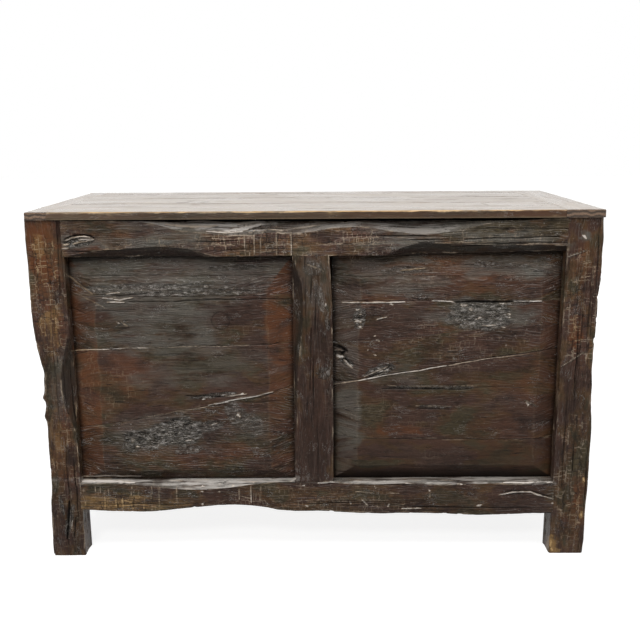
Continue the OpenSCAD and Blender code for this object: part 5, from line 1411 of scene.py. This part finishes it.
def forged_iron(colour):
    """Blackened iron: dented scale with rust in the hollows."""
    material, tree, surface = shader("forged_iron", 0.5)
    plug(tree, 0.75, surface.inputs["Metallic"])
    place = own_place(tree)
    dents = noise(tree, place, (260,) * 3, 4.0, 0.6)
    height = dents + noise(tree, place, (1700,) * 3, 2.0) * 0.25
    colour = blended(tree, dents.within(0.5, 0.72), colour, RUST)
    return finished(material, colour, dents.within(0.3, 0.7, 0.34, 0.62), height, 0.6, 0.0006)


FINISHES = {}


def finish_of(name):
    """The material of that finish, made when it is first asked for."""
    if name not in FINISHES:
        look = bpy.context.scene.sideboard_colours
        dark, brown = look.dark_colour, look.frame_colour
        makers = {
            "frame_wood": lambda: worn_wood(name, dark, brown, look),
            "panel_wood": lambda: worn_wood(name, dark, look.panel_colour, look, gloss=0.29, craze=0.8),
            "top_wood": lambda: worn_wood(name, look.top_shade, look.top_colour, look, gloss=0.26,
                                          craze=0.3, specular=0.3, rough_skin=0.12,
                                          sheen_tint=(1.0, 0.97, 0.86), calm=0.85),
            "end_grain": lambda: end_grain(name, dark, brown),
            "top_end_grain": lambda: end_grain(name, look.top_shade, TOP_END_LIGHT),
            "bare_wood_along": lambda: bare_wood(name, look.bare_colour, (6, 90, 90)),
            "bare_wood_deep": lambda: bare_wood(name, look.bare_colour, (90, 6, 90)),
            "iron": lambda: forged_iron(look.iron_colour),
        }
        FINISHES[name] = makers[name]()
    return FINISHES[name]


def make_inner_wood():
    """Gives the plain inner pieces, which keep their CAD shapes, their bare wood."""
    grained_along = ("floor_boards", "door_stops", "runner_cross_rail")
    grained_deep = ("top_battens", "drawer_runners", "drawer_left_box", "drawer_middle_box",
                    "drawer_right_box")
    for finish, nodes in (("bare_wood_along", grained_along), ("bare_wood_deep", grained_deep)):
        for node in nodes:
            piece = frame["nodes"][node]
            piece.data.materials.clear()
            piece.data.materials.append(finish_of(finish))


# Studio

# Each soft lamp: its name, its place, what it faces, and the length of its two sides, in metres
LAMPS = (
    ("overhead", (0.0, -1.3, 3.0), (0, -0.2, 0.5), (3.6, 1.5)),
    ("front", (-0.7, -2.8, 2.4), (0, 0, 0.5), (0.7, 0.5)),
    ("behind", (0.0, 4.6, 2.6), (0, 0, 0.6), (6.0, 2.5)),
    ("doors", (0.0, 3.4, 0.45), (0, 0, 0.45), (3.0, 0.6)),
)


def area_lamp(name, place, target, size, power):
    """A soft oblong lamp that faces a target."""
    data = bpy.data.lights.new(name, "AREA")
    data.shape, data.size, data.size_y = "RECTANGLE", *size
    data.energy = power
    lamp = bpy.data.objects.new(name, data)
    lamp.location = place
    lamp.rotation_mode = "QUATERNION"
    lamp.rotation_quaternion = (Vector(target) - Vector(place)).to_track_quat("-Z", "Y")
    bpy.context.scene.collection.objects.link(lamp)


def seen_directly(tree):
    """1 for camera, glossy and transmission rays, and 0 for the rays that light the scene."""
    path = put(tree, "LightPath")
    camera, glossy, through_glass = (
        Value(path.outputs[f"Is {kind} Ray"]) for kind in ("Camera", "Glossy", "Transmission"))
    return camera.maths("MAXIMUM", glossy).maths("MAXIMUM", through_glass)


def make_camera():
    """The camera as solved: it looks along its yaw and pitch, rolled about that line."""
    scene = bpy.context.scene
    data = bpy.data.cameras.new("camera")
    data.sensor_width = SENSOR
    data.lens = FOCAL_PIXELS / PHOTO_PIXELS * SENSOR
    data.clip_end = 60.0
    camera = bpy.data.objects.new("camera", data)
    (cy, sy), (cp, sp), (cr, sr) = (
        (math.cos(turn), math.sin(turn)) for turn in (CAMERA_YAW, CAMERA_PITCH, CAMERA_ROLL))
    forward, level = Vector((sy * cp, cy * cp, -sp)), Vector((cy, -sy, 0))
    down = forward.cross(level)
    right, down = level * cr + down * sr, down * cr - level * sr
    camera.matrix_world = (Matrix.Translation(CAMERA_PLACE)
                           @ Matrix((right, -down, -forward)).transposed().to_4x4())
    scene.collection.objects.link(camera)
    scene.camera = camera


def make_world():
    """An even light, which is plain white where it is seen directly."""
    world = bpy.data.worlds.new("studio_world")
    bpy.context.scene.world = world
    world.use_nodes = True
    tree = world.node_tree
    lit, white = tree.nodes["Background"], put(tree, "Background")
    for made, strength in ((lit, bpy.context.scene.sideboard_studio.world_light), (white, 1.0)):
        plug(tree, WHITE, made.inputs["Color"])
        plug(tree, strength, made.inputs["Strength"])
    mixed = put(tree, "MixShader",
                {0: seen_directly(tree), 1: Value(lit.outputs[0]), 2: Value(white.outputs[0])})
    tree.links.new(mixed.outputs[0], tree.nodes["World Output"].inputs[0])


def make_floor():
    """A floor of paper that looks white: it glows for the camera, and more so further off."""
    studio = bpy.context.scene.sideboard_studio
    bpy.ops.mesh.primitive_plane_add(size=30, location=(0, 0, 0))
    floor = bpy.context.object
    floor.name = "floor"
    material, tree, surface = shader("floor_paper", 0.2)
    far = put(tree, "VectorMath", {0: own_place(tree)}, operation="LENGTH")
    glow = Value(far.outputs["Value"]).within(1.2, 3.0, studio.floor_glow, studio.floor_far_glow)
    values = {"Base Color": studio.floor_colour, "Roughness": 0.9, "Emission Color": WHITE,
              "Emission Strength": seen_directly(tree) * glow}
    for key, value in values.items():
        plug(tree, value, surface.inputs[key])
    floor.data.materials.append(material)


def make_studio():
    """Camera, floor, world and soft lamps."""
    bpy.context.scene.view_settings.view_transform = "Standard"
    make_camera()
    make_world()
    make_floor()
    for name, place, target, size in LAMPS:
        power = getattr(bpy.context.scene.sideboard_studio, name + "_power")
        area_lamp(name, place, target, size, power)


# Settings

def colour_setting(name, words, default):
    """A colour property."""
    return FloatVectorProperty(name=name, description=words, default=default, subtype="COLOR", min=0, max=1)


def length_setting(name, words, default):
    """A length property, in metres."""
    return FloatProperty(name=name, description=words, default=default, unit="LENGTH", min=0, precision=4)


def light_setting(name, words, default, unit="NONE"):
    """A property for the strength of a light or a glow."""
    return FloatProperty(name=name, description=words, default=default, unit=unit, min=0)


class SideboardSizes(PropertyGroup):
    """Sizes of the surface detail."""

    mesh_pitch: length_setting("Mesh pitch", "Distance between mesh points across the back", 0.0018)
    hewn_depth: length_setting("Hewn depth", "Depth of the tool cuts", 0.001)
    grain_depth: length_setting("Grain depth", "Height of the ridges along the grain", 0.0003)
    split_depth: length_setting("Split depth", "Depth of the deepest splits", 0.0026)
    arris_wear: length_setting("Arris wear", "How far the arrises are worn back", 0.0022)


class SideboardColours(PropertyGroup):
    """Colours of the finishes."""

    # The dark lacquer, which also paints the shade value's painted shade
    dark_colour: colour_setting("Dark lacquer", "Lacquer where it is thick", (0.007, 0.004, 0.0025))
    frame_colour: colour_setting("Frame", "Lacquered wood of the frame", (0.082, 0.045, 0.022))
    panel_colour: colour_setting("Panels", "Lacquered wood of the panels", (0.062, 0.0345, 0.0175))
    warm_colour: colour_setting("Warm tint", "Wood that shows through thin lacquer", (0.095, 0.035, 0.014))
    plum_colour: colour_setting("Plum lacquer", "Lacquer with a violet cast", (0.054, 0.029, 0.021))
    olive_colour: colour_setting("Olive lacquer", "Lacquer with a green cast", (0.050, 0.038, 0.020))
    chip_colour: colour_setting("Chips", "Bright wood in fresh chips", (0.47, 0.43, 0.395))
    # Grey dust on rubbed lacquer, and painted sheen
    grey_dust_and_sheen_colour: colour_setting("Grey tint", "Rubbed and dusty lacquer", (0.082, 0.075, 0.063))
    gold_colour: colour_setting("Golden edge", "Worn wood where the lacquer is warm", (0.40, 0.26, 0.12))
    tan_colour: colour_setting("Tan tint", "Wood rubbed almost bare", (0.25, 0.15, 0.06))
    # Painted highlights on facets that face up, with some dust
    dust_and_highlight_colour: colour_setting("Pale facets", "Dusty, rubbed facets that face up", (0.40, 0.37, 0.34))
    # Torn fibres, and the painted glints and specks
    torn_fibre_and_glint_colour: colour_setting("Torn wood", "Raised fibres of torn wood", (0.34, 0.315, 0.29))
    worn_colour: colour_setting("Worn edge", "Wood on worn arrises", (0.34, 0.27, 0.20))
    top_colour: colour_setting("Top", "Wood of the top", (0.135, 0.093, 0.054))
    top_shade: colour_setting("Top shade", "Dark streaks of the top", (0.03, 0.021, 0.015))
    bare_colour: colour_setting("Bare wood", "Inner wood without lacquer", (0.34, 0.22, 0.125))
    iron_colour: colour_setting("Iron", "Blackened iron", (0.055, 0.05, 0.047))


class SideboardStudio(PropertyGroup):
    """Light and floor."""

    floor_colour: colour_setting("Floor", "Colour of the floor paper", (0.3, 0.3, 0.3))
    floor_glow: light_setting("Floor glow", "White that the camera sees added to the floor", 0.84)
    floor_far_glow: light_setting("Far floor glow", "The same, away from the sideboard", 0.93)
    world_light: light_setting("World light", "Strength of the light from all sides", 0.3)
    overhead_power: light_setting("Overhead lamp", "Power of the lamp above", 120.0, "POWER")
    front_power: light_setting("Front lamp", "Power of the lamp before the back panels", 36.0, "POWER")
    behind_power: light_setting("Rear lamp", "Power of the high lamp on the door side", 45.0, "POWER")
    doors_power: light_setting("Door lamp", "Power of the low lamp before the doors", 55.0, "POWER")


# Operators

class SIDEBOARD_OT_studio(Operator):
    """Set up the camera, floor and lamps"""

    bl_idname = "sideboard.studio"
    bl_label = "Studio"

    def execute(self, context):
        make_studio()
        return {"FINISHED"}


class SIDEBOARD_OT_back_frame(Operator):
    """Make the posts, rails and middle upright of the back"""

    bl_idname = "sideboard.back_frame"
    bl_label = "Back Frame"

    def execute(self, context):
        make_back_frame()
        return {"FINISHED"}


class SIDEBOARD_OT_back_panels(Operator):
    """Make the boards of the two back panels"""

    bl_idname = "sideboard.back_panels"
    bl_label = "Back Panels"

    def execute(self, context):
        make_back_panels()
        return {"FINISHED"}


class SIDEBOARD_OT_top(Operator):
    """Make the boards of the top"""

    bl_idname = "sideboard.top"
    bl_label = "Top Boards"

    def execute(self, context):
        make_top()
        return {"FINISHED"}


class SIDEBOARD_OT_side_walls(Operator):
    """Make the rails and panels of both sides"""

    bl_idname = "sideboard.side_walls"
    bl_label = "Side Walls"

    def execute(self, context):
        make_side_walls()
        return {"FINISHED"}


class SIDEBOARD_OT_front_frame(Operator):
    """Make the front's posts, rails, dividers, jambs and fixed panels"""

    bl_idname = "sideboard.front_frame"
    bl_label = "Front Frame"

    def execute(self, context):
        make_front_frame()
        return {"FINISHED"}


class SIDEBOARD_OT_drawer_fronts(Operator):
    """Make the drawer fronts"""

    bl_idname = "sideboard.drawer_fronts"
    bl_label = "Drawer Fronts"

    def execute(self, context):
        make_drawer_fronts()
        return {"FINISHED"}


class SIDEBOARD_OT_doors(Operator):
    """Make both doors"""

    bl_idname = "sideboard.doors"
    bl_label = "Doors"

    def execute(self, context):
        make_doors()
        return {"FINISHED"}


class SIDEBOARD_OT_ring_pulls(Operator):
    """Make the iron plates, eyes and rings"""

    bl_idname = "sideboard.ring_pulls"
    bl_label = "Ring Pulls"

    def execute(self, context):
        make_ring_pulls()
        return {"FINISHED"}


class SIDEBOARD_OT_inner_wood(Operator):
    """Give the inner pieces their bare wood"""

    bl_idname = "sideboard.inner_wood"
    bl_label = "Inner Wood"

    def execute(self, context):
        make_inner_wood()
        return {"FINISHED"}


OPERATORS = (
    SIDEBOARD_OT_studio, SIDEBOARD_OT_back_frame, SIDEBOARD_OT_back_panels, SIDEBOARD_OT_top,
    SIDEBOARD_OT_side_walls, SIDEBOARD_OT_front_frame, SIDEBOARD_OT_drawer_fronts, SIDEBOARD_OT_doors,
    SIDEBOARD_OT_ring_pulls, SIDEBOARD_OT_inner_wood,
)
GROUPS = (("sideboard_sizes", SideboardSizes), ("sideboard_colours", SideboardColours),
          ("sideboard_studio", SideboardStudio))


class SIDEBOARD_PT_panel(Panel):
    """Settings and pieces of the sideboard"""

    bl_idname = "SIDEBOARD_PT_panel"
    bl_label = "Sideboard"
    bl_space_type = "VIEW_3D"
    bl_region_type = "UI"
    bl_category = "Sideboard"

    def draw(self, context):
        for holder, group in GROUPS:
            box = self.layout.box()
            for key in group.__annotations__:
                box.prop(getattr(context.scene, holder), key)
        for operator in OPERATORS:
            self.layout.operator(operator.bl_idname)


def register():
    """Registers the settings, the operators and the panel."""
    for holder, group in GROUPS:
        bpy.utils.register_class(group)
        setattr(bpy.types.Scene, holder, PointerProperty(type=group))
    for made in (*OPERATORS, SIDEBOARD_PT_panel):
        bpy.utils.register_class(made)


def unregister():
    """Takes away what register added."""
    for made in reversed((*OPERATORS, SIDEBOARD_PT_panel)):
        bpy.utils.unregister_class(made)
    for holder, group in reversed(GROUPS):
        delattr(bpy.types.Scene, holder)
        bpy.utils.unregister_class(group)


def main():
    register()
    for operator in OPERATORS:
        space, name = operator.bl_idname.split(".")
        getattr(getattr(bpy.ops, space), name)()


if __name__ == "__main__":
    main()
